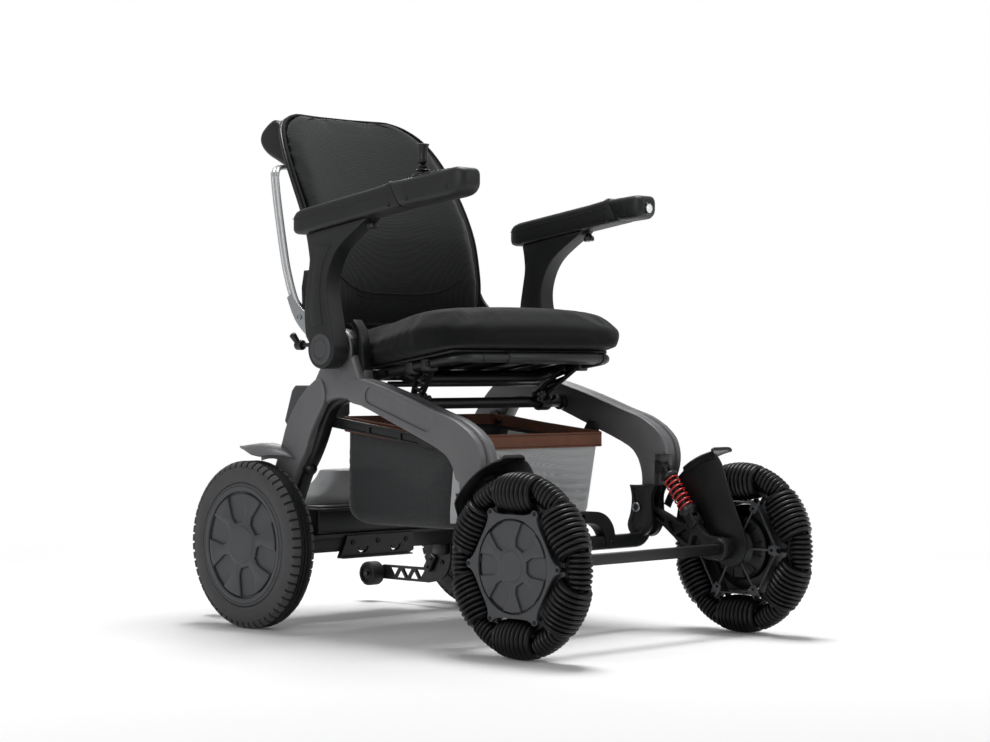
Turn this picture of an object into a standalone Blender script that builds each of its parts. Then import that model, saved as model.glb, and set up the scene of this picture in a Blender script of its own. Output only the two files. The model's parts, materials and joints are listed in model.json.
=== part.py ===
"""All-terrain power wheelchair with omnidirectional front wheels.

Metres, +Z up. The person looks along -Y, so their right hand is at -X. The origin lies on the floor under
the middle of the chair's outer box. Stations are distances behind the front axle.
"""

import math

import bmesh
import bpy
from mathutils import Euler, Matrix, Vector

for leftover in list(bpy.data.objects):
    bpy.data.objects.remove(leftover, do_unlink=True)

# Running clearances
GAP = 0.0003
PIVOT_CLEARANCE = 0.0003
LINK_CLEARANCE = 0.0022

# Half widths, from the middle of the chair outward
FRAME_INNER = 0.222
FRAME_THICKNESS = 0.040
FRAME_OUTER = FRAME_INNER + FRAME_THICKNESS
FRONT_WHEEL_SPACE = 0.0305
REAR_WHEEL_SPACE = 0.036
FRONT_TRACK_HALF = FRAME_OUTER + FRONT_WHEEL_SPACE
REAR_TRACK_HALF = FRAME_OUTER + REAR_WHEEL_SPACE

# Wheels and axles
WHEEL_RADIUS = 0.157
WHEELBASE = 0.700
TIP_WHEEL_STATION = WHEELBASE + 0.218
TIP_WHEEL_RADIUS = 0.025
REAR_END_STATION = TIP_WHEEL_STATION + TIP_WHEEL_RADIUS
FRONT_AXLE_Y = -(REAR_END_STATION - WHEEL_RADIUS) / 2
STUB_RADIUS = 0.010

# Front omni wheels
ROLLERS_PER_WHEEL = 6
LARGE_ORBIT = 0.122
LARGE_HALF = 0.0433
LARGE_RIBS = 7
RIB_DEPTH = 0.003
MOUTH_WALL = 0.0034
MOUTH_FLOOR = 0.022
SMALL_ORBIT = 0.1355
SMALL_HALF = 0.0330
ROLLER_SIDES = 8
PIN_RADIUS = 0.0037
HUB_SIDES = 14
HUB_DRUM_RADIUS = 0.060
HUB_INNER = 0.028
HEX_RADIUS = 0.106
HEX_THICKNESS = 0.0045
HEX_OFFSET = 0.016
CAP_RADIUS = 0.077
CAP_THICKNESS = 0.003
HORN_REACH = 0.0325
STEM_HALF = 0.004
ARM_PLATE = 0.0035

# Rear wheels
TYRE_HALF_WIDTH = 0.018
RIM_RADIUS = 0.116
TYRE_SIDES = 24
REAR_CAP_PROUD = 0.023

# Side frames
FRAME_EDGE = 0.005
PIVOT_STATION = 0.502
PIVOT_HEIGHT = 0.522
PIVOT_PIN = 0.008
TUBE_RADIUS = 0.0105
CROSS_TUBE_STATION = 0.390
CROSS_TUBE_HEIGHT = 0.4225

# Front suspension
SUSPENSION_X = FRAME_INNER + 0.006
LEG_THICKNESS = 0.036
ARM_THICKNESS = 0.014
ARM_PIVOT_STATION = 0.187
ARM_PIVOT_HEIGHT = 0.227
ARM_PIN = 0.006
AXLE_SQUARE = 0.019
SHOCK_TOP_STATION = 0.135
SHOCK_TOP_HEIGHT = 0.302
SHOCK_FOOT_STATION = 0.060
SHOCK_FOOT_HEIGHT = 0.204
SHOCK_PIN = 0.004
SHOCK_SEAT_RADIUS = 0.0165
SHOCK_TUBE_RADIUS = 0.009
SHOCK_ROD_RADIUS = 0.005
SHOCK_TRAVEL_ROOM = 0.0184
SHOCK_ROD_LAP = 0.027
SPRING_WIRE = 0.0045
SPRING_RADIUS = 0.0138
SPRING_TURNS = 6
FENDER_CLEARANCE = 0.021
FENDER_THICKNESS = 0.0035
FENDER_WALL_X = FRONT_TRACK_HALF - 0.045

# Seat
SEAT_TILT = math.radians(8.5)
SEAT_FRONT_STATION = 0.228
SEAT_FRONT_HEIGHT = CROSS_TUBE_HEIGHT + 0.1045
SEAT_HALF_WIDTH = FRAME_INNER - 0.0025
SEAT_FRONT_FLARE = 0.020
BACK_FOOT = 0.138
SEAT_BACK_SPACE = 0.0411
SEAT_LENGTH = (PIVOT_STATION + BACK_FOOT - SEAT_BACK_SPACE - SEAT_FRONT_STATION) / math.cos(SEAT_TILT)
PAN_THICKNESS = 0.008
RAIL_X = FRAME_INNER - 0.022
RAIL_RADIUS = 0.011
PAN_LAP = 0.005
STRUT_X = RAIL_X - 0.035
LOWER_BAR_STATION = CROSS_TUBE_STATION + 0.018
LOWER_BAR_HEIGHT = CROSS_TUBE_HEIGHT + 0.0515
REAR_BAR_ALONG = 0.235

# Backrest
SHELL_THICKNESS = 0.006
PAD_THICKNESS = 0.020
BACK_HOLLOW = 0.030
HOOP_RADIUS = 0.008
HOOP_X = FRAME_INNER + 0.007
HOOP_PLATE = 0.012
HOOP_BAR_STATION = PIVOT_STATION + 0.2455
HOOP_BAR_HEIGHT = PIVOT_HEIGHT + 0.352
HOOP_BAR_HALF = HOOP_X - 0.054
HOOP_CLIP = 0.012
POD_FRONT = 0.230
POD_LIFT = 0.370
POD_HALF_WIDTH = 0.155

# Arms
ARM_X = FRAME_OUTER + 0.0221
POST_THICKNESS = 0.038
POST_FOOT_RADIUS = 0.036
REST_WIDTH = 0.056
REST_REAR_STATION = PIVOT_STATION + 0.071
REST_REAR_HEIGHT = PIVOT_HEIGHT + 0.207
REST_SLOPE = 0.1397
REST_HEIGHT = 0.046
SEAM_STATION = PIVOT_STATION - 0.201
SEAM_LEAN = 0.028
TONGUE_WIDTH = 0.030
TONGUE_HEIGHT = 0.012
TONGUE_LENGTH = 0.110
SCREW_STATION = PIVOT_STATION - 0.122
LEVER_HEIGHT = PIVOT_HEIGHT + 0.008
JOYSTICK_STATION = SEAM_STATION - 0.054
POD_SLOPE = 0.1228
WELL_RADIUS = 0.014
BUTTON_STATION = SEAM_STATION - 0.116
BUTTON_RADIUS = 0.0065
BUTTON_TRAVEL = 0.0012
LENS_RADIUS = 0.0075
BOOT_RADIUS = 0.0116

# Basket
BASKET_HALF_WIDTH = FRAME_INNER - 0.028
BASKET_FRONT = 0.259
BASKET_REAR = 0.559
BASKET_BAND = 0.028
BASKET_WALL = 0.003

# Anti-tip wheels
TIP_WHEEL_X = FRAME_INNER - 0.022
TIP_WHEEL_HEIGHT = 0.059
TIP_WHEEL_HALF = 0.015

# Rear equipment
TRAY_HALF_WIDTH = FRAME_INNER - 0.052
TRAY_FRONT = WHEELBASE - 0.040
TRAY_REAR = WHEELBASE + 0.100
TRAY_FLOOR = 0.170
TRAY_TOP = 0.225
CASE_INNER = FRAME_INNER - 0.087
CASE_EDGE = 0.006

SIDES = (("right", -1), ("left", 1))

parts = bpy.data.collections.new("All-terrain power wheelchair")
helpers = bpy.data.collections.new("Cutters and joined shapes")
bpy.context.scene.collection.children.link(parts)
bpy.context.scene.collection.children.link(helpers)

# Finished pieces stay out of the view layer until the end, so that they aren't worked out again for each curve.
parts_layer = bpy.context.view_layer.layer_collection.children[parts.name]
parts_layer.exclude = True


def station(distance):
    """World y of a distance behind the front axle."""
    return FRONT_AXLE_Y + distance


def material(name, hex_colour, roughness, metallic):
    made = bpy.data.materials.new(name)
    made.use_nodes = True
    shader = made.node_tree.nodes["Principled BSDF"]
    channels = [int(hex_colour[i : i + 2], 16) / 255 for i in (0, 2, 4)]
    linear = [c / 12.92 if c <= 0.04045 else ((c + 0.055) / 1.055) ** 2.4 for c in channels]
    shader.inputs["Base Color"].default_value = (*linear, 1)
    shader.inputs["Roughness"].default_value = roughness
    shader.inputs["Metallic"].default_value = metallic
    return made


GREY_PAINT = material("grey_paint", "565759", 0.45, 0.3)
BLACK_METAL = material("black_metal", "1e1f21", 0.4, 0.5)
BLACK_PLASTIC = material("black_plastic", "1b1c1e", 0.5, 0.0)
WHEEL_GREY = material("wheel_grey", "3a3c3f", 0.5, 0.2)
ROLLER_RUBBER = material("roller_rubber", "141416", 0.45, 0.0)
TYRE_RUBBER = material("tyre_rubber", "2b2c2e", 0.7, 0.0)
SPRING_RED = material("spring_red", "c8271f", 0.35, 0.2)
SEAT_FABRIC = material("seat_fabric", "17181a", 0.9, 0.0)
LIGHT_GREY = material("light_grey", "c9cbcc", 0.45, 0.0)
BROWN_BAND = material("brown_band", "6b3f2a", 0.7, 0.0)
NET_GREY = material("net_grey", "5e6063", 0.8, 0.0)
BRIGHT_METAL = material("bright_metal", "9da0a3", 0.3, 0.9)
LAMP_WHITE = material("lamp_white", "f2f2f0", 0.2, 0.0)


def move_to(obj, group):
    for old in list(obj.users_collection):
        old.objects.unlink(obj)
    group.objects.link(obj)


def finish(obj, name, look):
    """Makes a shape one named sub-part of the chair."""
    obj.name = name
    obj.data.name = name
    obj.data.materials.clear()
    obj.data.materials.append(look)
    obj.hide_render = False
    obj.display_type = "TEXTURED"
    move_to(obj, parts)
    obj.data.shade_smooth()
    obj.data.set_sharp_from_angle(angle=math.radians(35))
    return obj


def helper(name, mesh):
    """A shape that isn't a sub-part yet: finish() takes it out of the helpers."""
    obj = bpy.data.objects.new(name, mesh)
    helpers.objects.link(obj)
    obj.hide_render = True
    obj.display_type = "WIRE"
    return obj


def mesh_from(name, shape):
    mesh = bpy.data.meshes.new(name)
    shape.to_mesh(mesh)
    shape.free()
    return mesh


def box(low, high, turn=(0, 0, 0)):
    """A box from its two corners, turned about its middle."""
    low, high = Vector(low), Vector(high)
    shape = bmesh.new()
    bmesh.ops.create_cube(shape, size=1)
    bmesh.ops.scale(shape, vec=high - low, verts=shape.verts)
    obj = helper("box", mesh_from("box", shape))
    obj.location = (low + high) / 2
    obj.rotation_euler = turn
    return obj


def rod(start, end, radius, sides=12, end_radius=None):
    """A round bar, or a cone, between two points."""
    start, end = Vector(start), Vector(end)
    shape = bmesh.new()
    bmesh.ops.create_cone(
        shape,
        cap_ends=True,
        segments=sides,
        radius1=radius,
        radius2=radius if end_radius is None else end_radius,
        depth=(end - start).length,
    )
    obj = helper("rod", mesh_from("rod", shape))
    obj.location = (start + end) / 2
    obj.rotation_euler = (end - start).to_track_quat("Z", "Y").to_euler()
    return obj


def turned(profile, sides, closed=False):
    """A solid turned about local Z. The profile is (radius, height) down its outer side, flats facing X and Y."""
    phase = math.pi / sides
    grow = 1 / math.cos(phase)
    shape = bmesh.new()
    points = [
        shape.verts.new((radius * grow * math.cos(phase), radius * grow * math.sin(phase), height))
        for radius, height in profile
    ]
    ends = points[1:] + points[:1] if closed else points[1:]
    for first, second in zip(points, ends):
        shape.edges.new((first, second))
    obj = helper("turned", mesh_from("turned", shape))
    screw = obj.modifiers.new("Screw", "SCREW")
    screw.steps = sides
    screw.render_steps = sides
    screw.use_merge_vertices = True
    screw.merge_threshold = 0.00001
    return obj


def across(obj, centre, side=1):
    """Lays a turned shape's axis along X, its top outward on the given side."""
    obj.location = centre
    obj.rotation_euler = (0, side * math.pi / 2, 0)
    return obj


def solid_from_curve(curve, place):
    """The mesh of a curve, its caps welded on."""
    guide = bpy.data.objects.new("curve", curve)
    helpers.objects.link(guide)
    guide.matrix_world = place
    bpy.context.view_layer.update()
    graph = bpy.context.evaluated_depsgraph_get()
    mesh = bpy.data.meshes.new_from_object(guide.evaluated_get(graph))
    bpy.data.objects.remove(guide, do_unlink=True)
    bpy.data.curves.remove(curve)
    shape = bmesh.new()
    shape.from_mesh(mesh)
    bmesh.ops.remove_doubles(shape, verts=shape.verts, dist=0.00001)
    bmesh.ops.recalc_face_normals(shape, faces=shape.faces)
    shape.to_mesh(mesh)
    shape.free()
    obj = helper("solid", mesh)
    obj.matrix_world = place
    return obj


def arc(centre, radius, start, end, steps):
    """Points on an arc in a plane, angles in degrees from its first axis."""
    angles = [math.radians(start + (end - start) * i / steps) for i in range(steps + 1)]
    return [(centre[0] + radius * math.cos(a), centre[1] + radius * math.sin(a)) for a in angles]


def plate(outline, low, high, holes=(), edge=0.0):
    """A plate between two x planes. Its outline and holes are (station, height)."""
    curve = bpy.data.curves.new("plate", "CURVE")
    curve.dimensions = "2D"
    curve.fill_mode = "BOTH"
    curve.extrude = (high - low) / 2 - edge
    curve.bevel_depth = edge
    curve.bevel_resolution = 0
    curve.offset = -edge
    for loop in (outline, *holes):
        spline = curve.splines.new("POLY")
        spline.points.add(len(loop) - 1)
        for point, place in zip(spline.points, loop):
            point.co = (place[0], place[1], 0, 1)
        spline.use_cyclic_u = True
    middle = Vector(((low + high) / 2, FRONT_AXLE_Y, 0))
    return solid_from_curve(curve, Matrix.LocRotScale(middle, Euler((math.pi / 2, 0, math.pi / 2)), None))


def sheet_across(outline, low, high):
    """A plate between two y planes. Its outline is (x, height)."""
    curve = bpy.data.curves.new("sheet", "CURVE")
    curve.dimensions = "2D"
    curve.fill_mode = "BOTH"
    curve.extrude = (high - low) / 2
    spline = curve.splines.new("POLY")
    spline.points.add(len(outline) - 1)
    for point, place in zip(spline.points, outline):
        point.co = (place[0], place[1], 0, 1)
    spline.use_cyclic_u = True
    middle = Vector((0, (low + high) / 2, 0))
    return solid_from_curve(curve, Matrix.LocRotScale(middle, Euler((math.pi / 2, 0, 0)), None))


def tube(path, radius, resolution=2):
    """A round tube along world points."""
    curve = bpy.data.curves.new("tube", "CURVE")
    curve.dimensions = "3D"
    curve.bevel_depth = radius
    curve.bevel_resolution = resolution
    curve.use_fill_caps = True
    spline = curve.splines.new("POLY")
    spline.points.add(len(path) - 1)
    for point, place in zip(spline.points, path):
        point.co = (*place, 1)
    return solid_from_curve(curve, Matrix.Identity(4))


def bent(path, radius, steps=3):
    """The path with each inner corner replaced by an arc of this radius."""
    path = [Vector(p) for p in path]
    made = [path[0]]
    for before, corner, after in zip(path, path[1:], path[2:]):
        back = (before - corner).normalized()
        ahead = (after - corner).normalized()
        half = back.angle(ahead) / 2
        if half > math.radians(76):
            made.append(corner)
            continue
        reach = min(radius / math.tan(half), 0.45 * (before - corner).length, 0.45 * (after - corner).length)
        centre = corner + (back + ahead).normalized() * reach / math.cos(half)
        start, end = corner + back * reach - centre, corner + ahead * reach - centre
        for step in range(steps + 1):
            turn = start.normalized().slerp(end.normalized(), step / steps)
            made.append(centre + turn * start.length)
    made.append(path[-1])
    return made


def combine(obj, others, operation):
    group = bpy.data.collections.new(operation.lower())
    helpers.children.link(group)
    for other in others:
        move_to(other, group)
    move_to(obj, parts)
    boolean = obj.modifiers.new(operation.title(), "BOOLEAN")
    boolean.operation = operation
    boolean.operand_type = "COLLECTION"
    boolean.collection = group
    boolean.solver = "EXACT"
    return obj


def join(obj, *others):
    return combine(obj, others, "UNION")


def cut(obj, *others):
    return combine(obj, others, "DIFFERENCE")


def pivot(name, place):
    """An empty on a joint's axis, which carries the moving pieces."""
    empty = bpy.data.objects.new(name, None)
    empty.empty_display_size = 0.03
    empty.location = place
    parts.objects.link(empty)
    return empty


def hang(obj, empty):
    """Puts a piece under its joint's empty without moving it."""
    obj.parent = empty
    obj.matrix_parent_inverse = Matrix.Translation(-Vector(empty.location))
    return obj


def spoke(angle):
    """Unit vectors outward and round a wheel at an angle from straight ahead."""
    turn = math.radians(angle)
    return Vector((0, -math.cos(turn), math.sin(turn))), Vector((0, math.sin(turn), math.cos(turn)))


def barrel_radius(orbit, along):
    """Radius of a roller whose side lies on the wheel's own circle."""
    return math.sqrt(WHEEL_RADIUS**2 - along**2) - orbit


def ribs():
    """Crests and valleys of a large roller, from its top end down."""
    count = 2 * LARGE_RIBS - 1
    places = [LARGE_HALF - 2 * LARGE_HALF * i / (count - 1) for i in range(count)]
    return [(barrel_radius(LARGE_ORBIT, z) - RIB_DEPTH * (i % 2), z) for i, z in enumerate(places)]


def large_roller():
    """A hollow-ended roller, whose mouths take the ends of the small rollers."""
    mouth = barrel_radius(LARGE_ORBIT, LARGE_HALF) - MOUTH_WALL
    bore = PIN_RADIUS + PIVOT_CLEARANCE
    inside = [
        (mouth, -LARGE_HALF),
        (mouth, -MOUTH_FLOOR),
        (bore, -MOUTH_FLOOR),
        (bore, MOUTH_FLOOR),
        (mouth, MOUTH_FLOOR),
        (mouth, LARGE_HALF),
    ]
    return turned(ribs() + inside, ROLLER_SIDES, closed=True)


def make_large_rollers(side_name, side, wheel):
    for index in range(ROLLERS_PER_WHEEL):
        angle = 30 + 60 * index
        outward, _ = spoke(angle)
        centre = Vector((side * FRONT_TRACK_HALF, station(0), WHEEL_RADIUS)) + outward * LARGE_ORBIT
        empty = pivot(f"front_roller_{side_name}_{index + 1}_pivot", centre)
        empty.parent = wheel
        empty.matrix_parent_inverse = Matrix.Translation(-Vector(wheel.location))
        roller = finish(large_roller(), f"front_roller_{side_name}_{index + 1}", ROLLER_RUBBER)
        roller.parent = empty
        roller.rotation_euler = (-math.radians(angle), 0, 0)


def scalloped_hex():
    """A hexagon with a lug on each corner and hollow sides, round the front axle."""
    outline = []
    for corner in range(6):
        for turn in (-1, 1):
            for away, radius in ((17, 0.0895), (4.5, HEX_RADIUS))[::-turn]:
                outline.append((60 * corner + turn * away, radius))
    return [
        (-r * math.cos(math.radians(a)), WHEEL_RADIUS + r * math.sin(math.radians(a))) for a, r in outline[::-1]
    ]


def inner_hexagon():
    """The opening of the thin inner frame."""
    return [
        (-0.080 * math.cos(math.radians(60 * k)), WHEEL_RADIUS + 0.080 * math.sin(math.radians(60 * k)))
        for k in range(6)
    ]


def roller_bracket(side, corner):
    """The forked bracket at a hexagon corner, which grows out of the drum and holds three roller axles."""
    outward, around = spoke(60 * corner)
    reach = HORN_REACH
    half_shape = [
        (0.112, reach),
        (0.141, reach),
        (0.141, reach + ARM_PLATE),
        (0.1105, reach + ARM_PLATE),
        (0.108, reach),
        (0.108, STEM_HALF),
        (HUB_DRUM_RADIUS - 0.003, STEM_HALF),
    ]
    shape = half_shape + [(u, -t) for u, t in half_shape[::-1]]
    places = [Vector((0, 0, WHEEL_RADIUS)) + outward * u + around * t for u, t in shape]
    middle = side * FRONT_TRACK_HALF
    return plate([(p.y, p.z) for p in places], middle - 0.0055, middle + 0.0055)


def small_roller(side, corner):
    """A small roller, held face to face between two horns."""
    outward, _ = spoke(60 * corner)
    place = Vector((side * FRONT_TRACK_HALF, station(0), WHEEL_RADIUS)) + outward * SMALL_ORBIT
    places = (SMALL_HALF, 0, -SMALL_HALF)
    profile = [(barrel_radius(SMALL_ORBIT, z) - 2 * GAP, z) for z in places]
    barrel = turned([(0, SMALL_HALF), *profile, (0, -SMALL_HALF)], ROLLER_SIDES)
    barrel.location = place
    barrel.rotation_euler = (-math.radians(60 * corner), 0, 0)
    return barrel


def large_pin(side, index):
    outward, around = spoke(30 + 60 * index)
    place = Vector((side * FRONT_TRACK_HALF, station(0), WHEEL_RADIUS)) + outward * LARGE_ORBIT
    return rod(place - around * 0.0315, place + around * 0.0315, PIN_RADIUS, 6)


def make_front_wheel(side_name, side):
    axis = Vector((side * FRONT_TRACK_HALF, station(0), WHEEL_RADIUS))
    wheel = pivot(f"front_wheel_{side_name}_pivot", axis)
    make_large_rollers(side_name, side, wheel)
    cap_face = HEX_OFFSET + HEX_THICKNESS + CAP_THICKNESS
    stub_end = FRONT_TRACK_HALF - SUSPENSION_X + ARM_THICKNESS / 2 + 0.006
    drum = turned(
        [
            (0, cap_face),
            (CAP_RADIUS - 0.003, cap_face),
            (CAP_RADIUS, HEX_OFFSET + 0.001),
            (HUB_DRUM_RADIUS, HEX_OFFSET + 0.001),
            (HUB_DRUM_RADIUS, -HUB_INNER),
            (STUB_RADIUS, -HUB_INNER),
            (STUB_RADIUS, -stub_end),
            (0, -stub_end),
        ],
        HUB_SIDES,
    )
    across(drum, axis, side)
    inner_low, inner_high = sorted(
        side * (FRONT_TRACK_HALF + w) for w in (-HEX_OFFSET - HEX_THICKNESS, -HEX_OFFSET)
    )
    outer_low, outer_high = sorted(
        side * (FRONT_TRACK_HALF + w) for w in (HEX_OFFSET, HEX_OFFSET + HEX_THICKNESS)
    )
    pieces = [
        plate(scalloped_hex(), outer_low, outer_high),
        plate(scalloped_hex(), inner_low, inner_high, [inner_hexagon()]),
    ]
    frame_middle = Vector((side * (FRONT_TRACK_HALF - HEX_OFFSET - HEX_THICKNESS / 2), station(0), WHEEL_RADIUS))
    for corner in range(3):
        outward, _ = spoke(60 * corner)
        pieces.append(rod(frame_middle - outward * 0.090, frame_middle + outward * 0.090, 0.003, 4))
    for corner in range(6):
        pieces.append(roller_bracket(side, corner))
        pieces.append(small_roller(side, corner))
        pieces.append(large_pin(side, corner))
    join(drum, *pieces)
    hang(finish(drum, f"front_hub_{side_name}", WHEEL_GREY), wheel)


def make_rear_wheel(side_name, side):
    axis = Vector((side * REAR_TRACK_HALF, station(WHEELBASE), WHEEL_RADIUS))
    wheel = pivot(f"rear_wheel_{side_name}_pivot", axis)
    bead = RIM_RADIUS + GAP
    tread = WHEEL_RADIUS
    groove = 0.0025
    half = TYRE_HALF_WIDTH
    outer = [
        (bead, half - 0.003),
        (tread - 0.016, half),
        (tread, half - 0.006),
        (tread - groove, 0),
    ]
    profile = outer + [(r, -z) for r, z in outer[-2::-1]]
    tyre = across(turned(profile, TYRE_SIDES, closed=True), axis, side)
    hang(finish(tyre, f"rear_tyre_{side_name}", TYRE_RUBBER), wheel)
    face = REAR_CAP_PROUD
    stub_end = REAR_TRACK_HALF - FRAME_OUTER + 0.026
    hub = turned(
        [
            (0, face - 0.002),
            (RIM_RADIUS - 0.016, face - 0.002),
            (RIM_RADIUS - 0.012, face),
            (RIM_RADIUS - 0.003, face - 0.002),
            (RIM_RADIUS, face - 0.008),
            (RIM_RADIUS, -0.014),
            (0.070, -0.028),
            (STUB_RADIUS, -0.028),
            (STUB_RADIUS, -stub_end),
            (0, -stub_end),
        ],
        TYRE_SIDES,
    )
    across(hub, axis, side)
    hang(finish(hub, f"rear_hub_{side_name}", WHEEL_GREY), wheel)


def from_rear_axle(points):
    """Stations from distances behind the rear axle, with heights as they are."""
    return [(WHEELBASE + distance, height) for distance, height in points]


def make_side_frame(side_name, side):
    """The cast frame: column, front beam, rear leg and rear mudguard."""
    low, high = sorted((side * FRAME_INNER, side * FRAME_OUTER))
    beam_top = [(0.444, 0.467), (0.405, 0.459), (0.243, 0.411), (0.195, 0.396), (0.155, 0.377)]
    nose = [(0.131, 0.352), (0.124, 0.325), (0.143, 0.268)]
    underside = [
        (0.203, 0.268),
        (0.207, 0.300),
        (0.224, 0.334),
        (0.249, 0.353),
        (0.434, 0.419),
        (0.490, 0.430),
    ]
    leg_front = [(PIVOT_STATION + 0.033, 0.426), (PIVOT_STATION + 0.054, 0.401)]
    leg_front += from_rear_axle([(-0.125, 0.366), (-0.110, 0.332), (-0.088, 0.300), (-0.055, 0.240)])
    leg_foot = arc((WHEELBASE, WHEEL_RADIUS), 0.032, 170, 370, 6)
    leg_rear = from_rear_axle([(0.002, 0.250), (-0.026, 0.310), (-0.040, 0.342), (-0.056, 0.380)])
    leg_rear += [(PIVOT_STATION + 0.107, 0.429), (PIVOT_STATION + 0.068, 0.461)]
    column_head = arc((PIVOT_STATION, PIVOT_HEIGHT), 0.038, -15, 190, 6)
    outline = underside + leg_front + leg_foot + leg_rear + column_head + beam_top + nose
    frame = plate(outline, low, high, edge=FRAME_EDGE)

    blade_low, blade_high = sorted((side * (FRAME_OUTER - 0.010), side * (REAR_TRACK_HALF + 0.014)))
    blade_outer = arc((WHEELBASE, WHEEL_RADIUS), 0.181, 128, 78, 4) + from_rear_axle([(0.057, 0.346)])
    blade_inner = from_rear_axle([(0.054, 0.340)]) + arc((WHEELBASE, WHEEL_RADIUS), 0.1765, 80, 128, 4)
    blade = plate(blade_inner + blade_outer, blade_low, blade_high)

    lug_x = side * SUSPENSION_X
    lug_low, lug_high = sorted((lug_x - 0.004, lug_x + 0.004))
    lug_root = SHOCK_TOP_STATION + 0.025
    lug_outline = arc((SHOCK_TOP_STATION, SHOCK_TOP_HEIGHT), 0.008, 90, 270, 5)
    lug_outline += [(lug_root, SHOCK_TOP_HEIGHT - 0.012), (lug_root, SHOCK_TOP_HEIGHT + 0.014)]
    lug = plate(lug_outline, lug_low, lug_high)
    shock_pin = rod(
        (lug_x - 0.0105, station(SHOCK_TOP_STATION), SHOCK_TOP_HEIGHT),
        (lug_x + 0.0105, station(SHOCK_TOP_STATION), SHOCK_TOP_HEIGHT),
        SHOCK_PIN,
        8,
    )
    arm_pin = rod(
        (side * (FRAME_INNER + 0.006), station(PIVOT_STATION), PIVOT_HEIGHT),
        (side * (ARM_X + 0.010), station(PIVOT_STATION), PIVOT_HEIGHT),
        PIVOT_PIN,
        10,
    )
    join(frame, blade)

    recess_low, recess_high = sorted((side * (FRAME_INNER - 0.02), side * (FRAME_INNER + HOOP_PLATE + 2 * GAP)))
    recess = box(
        (recess_low, station(PIVOT_STATION - 0.062), PIVOT_HEIGHT - 0.034),
        (recess_high, station(PIVOT_STATION + 0.098), PIVOT_HEIGHT + 0.078),
    )
    bearing = rod(
        (side * (FRAME_OUTER - 0.028), station(WHEELBASE), WHEEL_RADIUS),
        (side * (FRAME_OUTER + 0.010), station(WHEELBASE), WHEEL_RADIUS),
        STUB_RADIUS + 3 * PIVOT_CLEARANCE,
        12,
    )
    notch_low, notch_high = sorted((side * (FRAME_INNER - 0.02), side * (SUSPENSION_X + 0.0125)))
    shock_notch = box(
        (notch_low, station(SHOCK_TOP_STATION - 0.035), SHOCK_TOP_HEIGHT - 0.031),
        (notch_high, station(SHOCK_TOP_STATION + 0.017), SHOCK_TOP_HEIGHT + 0.023),
    )
    cut(frame, recess, bearing, shock_notch)
    join(frame, arm_pin, lug, shock_pin)
    finish(frame, f"side_frame_{side_name}", GREY_PAINT)


def make_front_cradle():
    """Both black legs, the bar across and its central bracket, with the swing arm's pins."""
    bar = tube(
        bent(
            [
                (-SUSPENSION_X, station(0.181), 0.195),
                (-SUSPENSION_X, station(0.183), 0.166),
                (SUSPENSION_X, station(0.183), 0.166),
                (SUSPENSION_X, station(0.181), 0.195),
            ],
            0.02,
        ),
        0.011,
        1,
    )
    top = 0.268 - GAP
    outline = [
        (0.143, top),
        (0.152, 0.252),
        (0.151, 0.205),
        (0.160, 0.182),
        (0.172, 0.172),
        (0.196, 0.172),
        (0.209, 0.193),
        (0.201, 0.217),
        (0.199, 0.247),
        (0.203, top),
    ]
    bracket_outline = [
        (-0.130, 0.156),
        (-0.108, 0.156),
        (-0.070, 0.200),
        (0.070, 0.200),
        (0.108, 0.156),
        (0.130, 0.156),
        (0.130, 0.176),
        (0.088, 0.224),
        (-0.088, 0.224),
        (-0.130, 0.176),
    ]
    pieces = [sheet_across(bracket_outline, station(0.170), station(0.196))]
    slots = []
    pins = []
    for _, side in SIDES:
        centre = side * SUSPENSION_X
        pieces.append(plate(outline, centre - LEG_THICKNESS / 2, centre + LEG_THICKNESS / 2))
        reach = ARM_THICKNESS / 2 + PIVOT_CLEARANCE
        slots.append(box((centre - reach, station(0.120), 0.191), (centre + reach, station(0.230), 0.248)))
        pins.append(
            rod(
                (centre - LEG_THICKNESS / 2 - 0.003, station(ARM_PIVOT_STATION), ARM_PIVOT_HEIGHT),
                (centre + LEG_THICKNESS / 2 + 0.003, station(ARM_PIVOT_STATION), ARM_PIVOT_HEIGHT),
                ARM_PIN,
                6,
            )
        )
    for x in (-0.045, 0.045):
        slots.append(rod((x, station(0.150), 0.212), (x, station(0.220), 0.212), 0.006, 8))
    join(bar, *pieces)
    cut(bar, *slots)
    join(bar, *pins)
    finish(bar, "front_cradle", BLACK_METAL)


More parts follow.
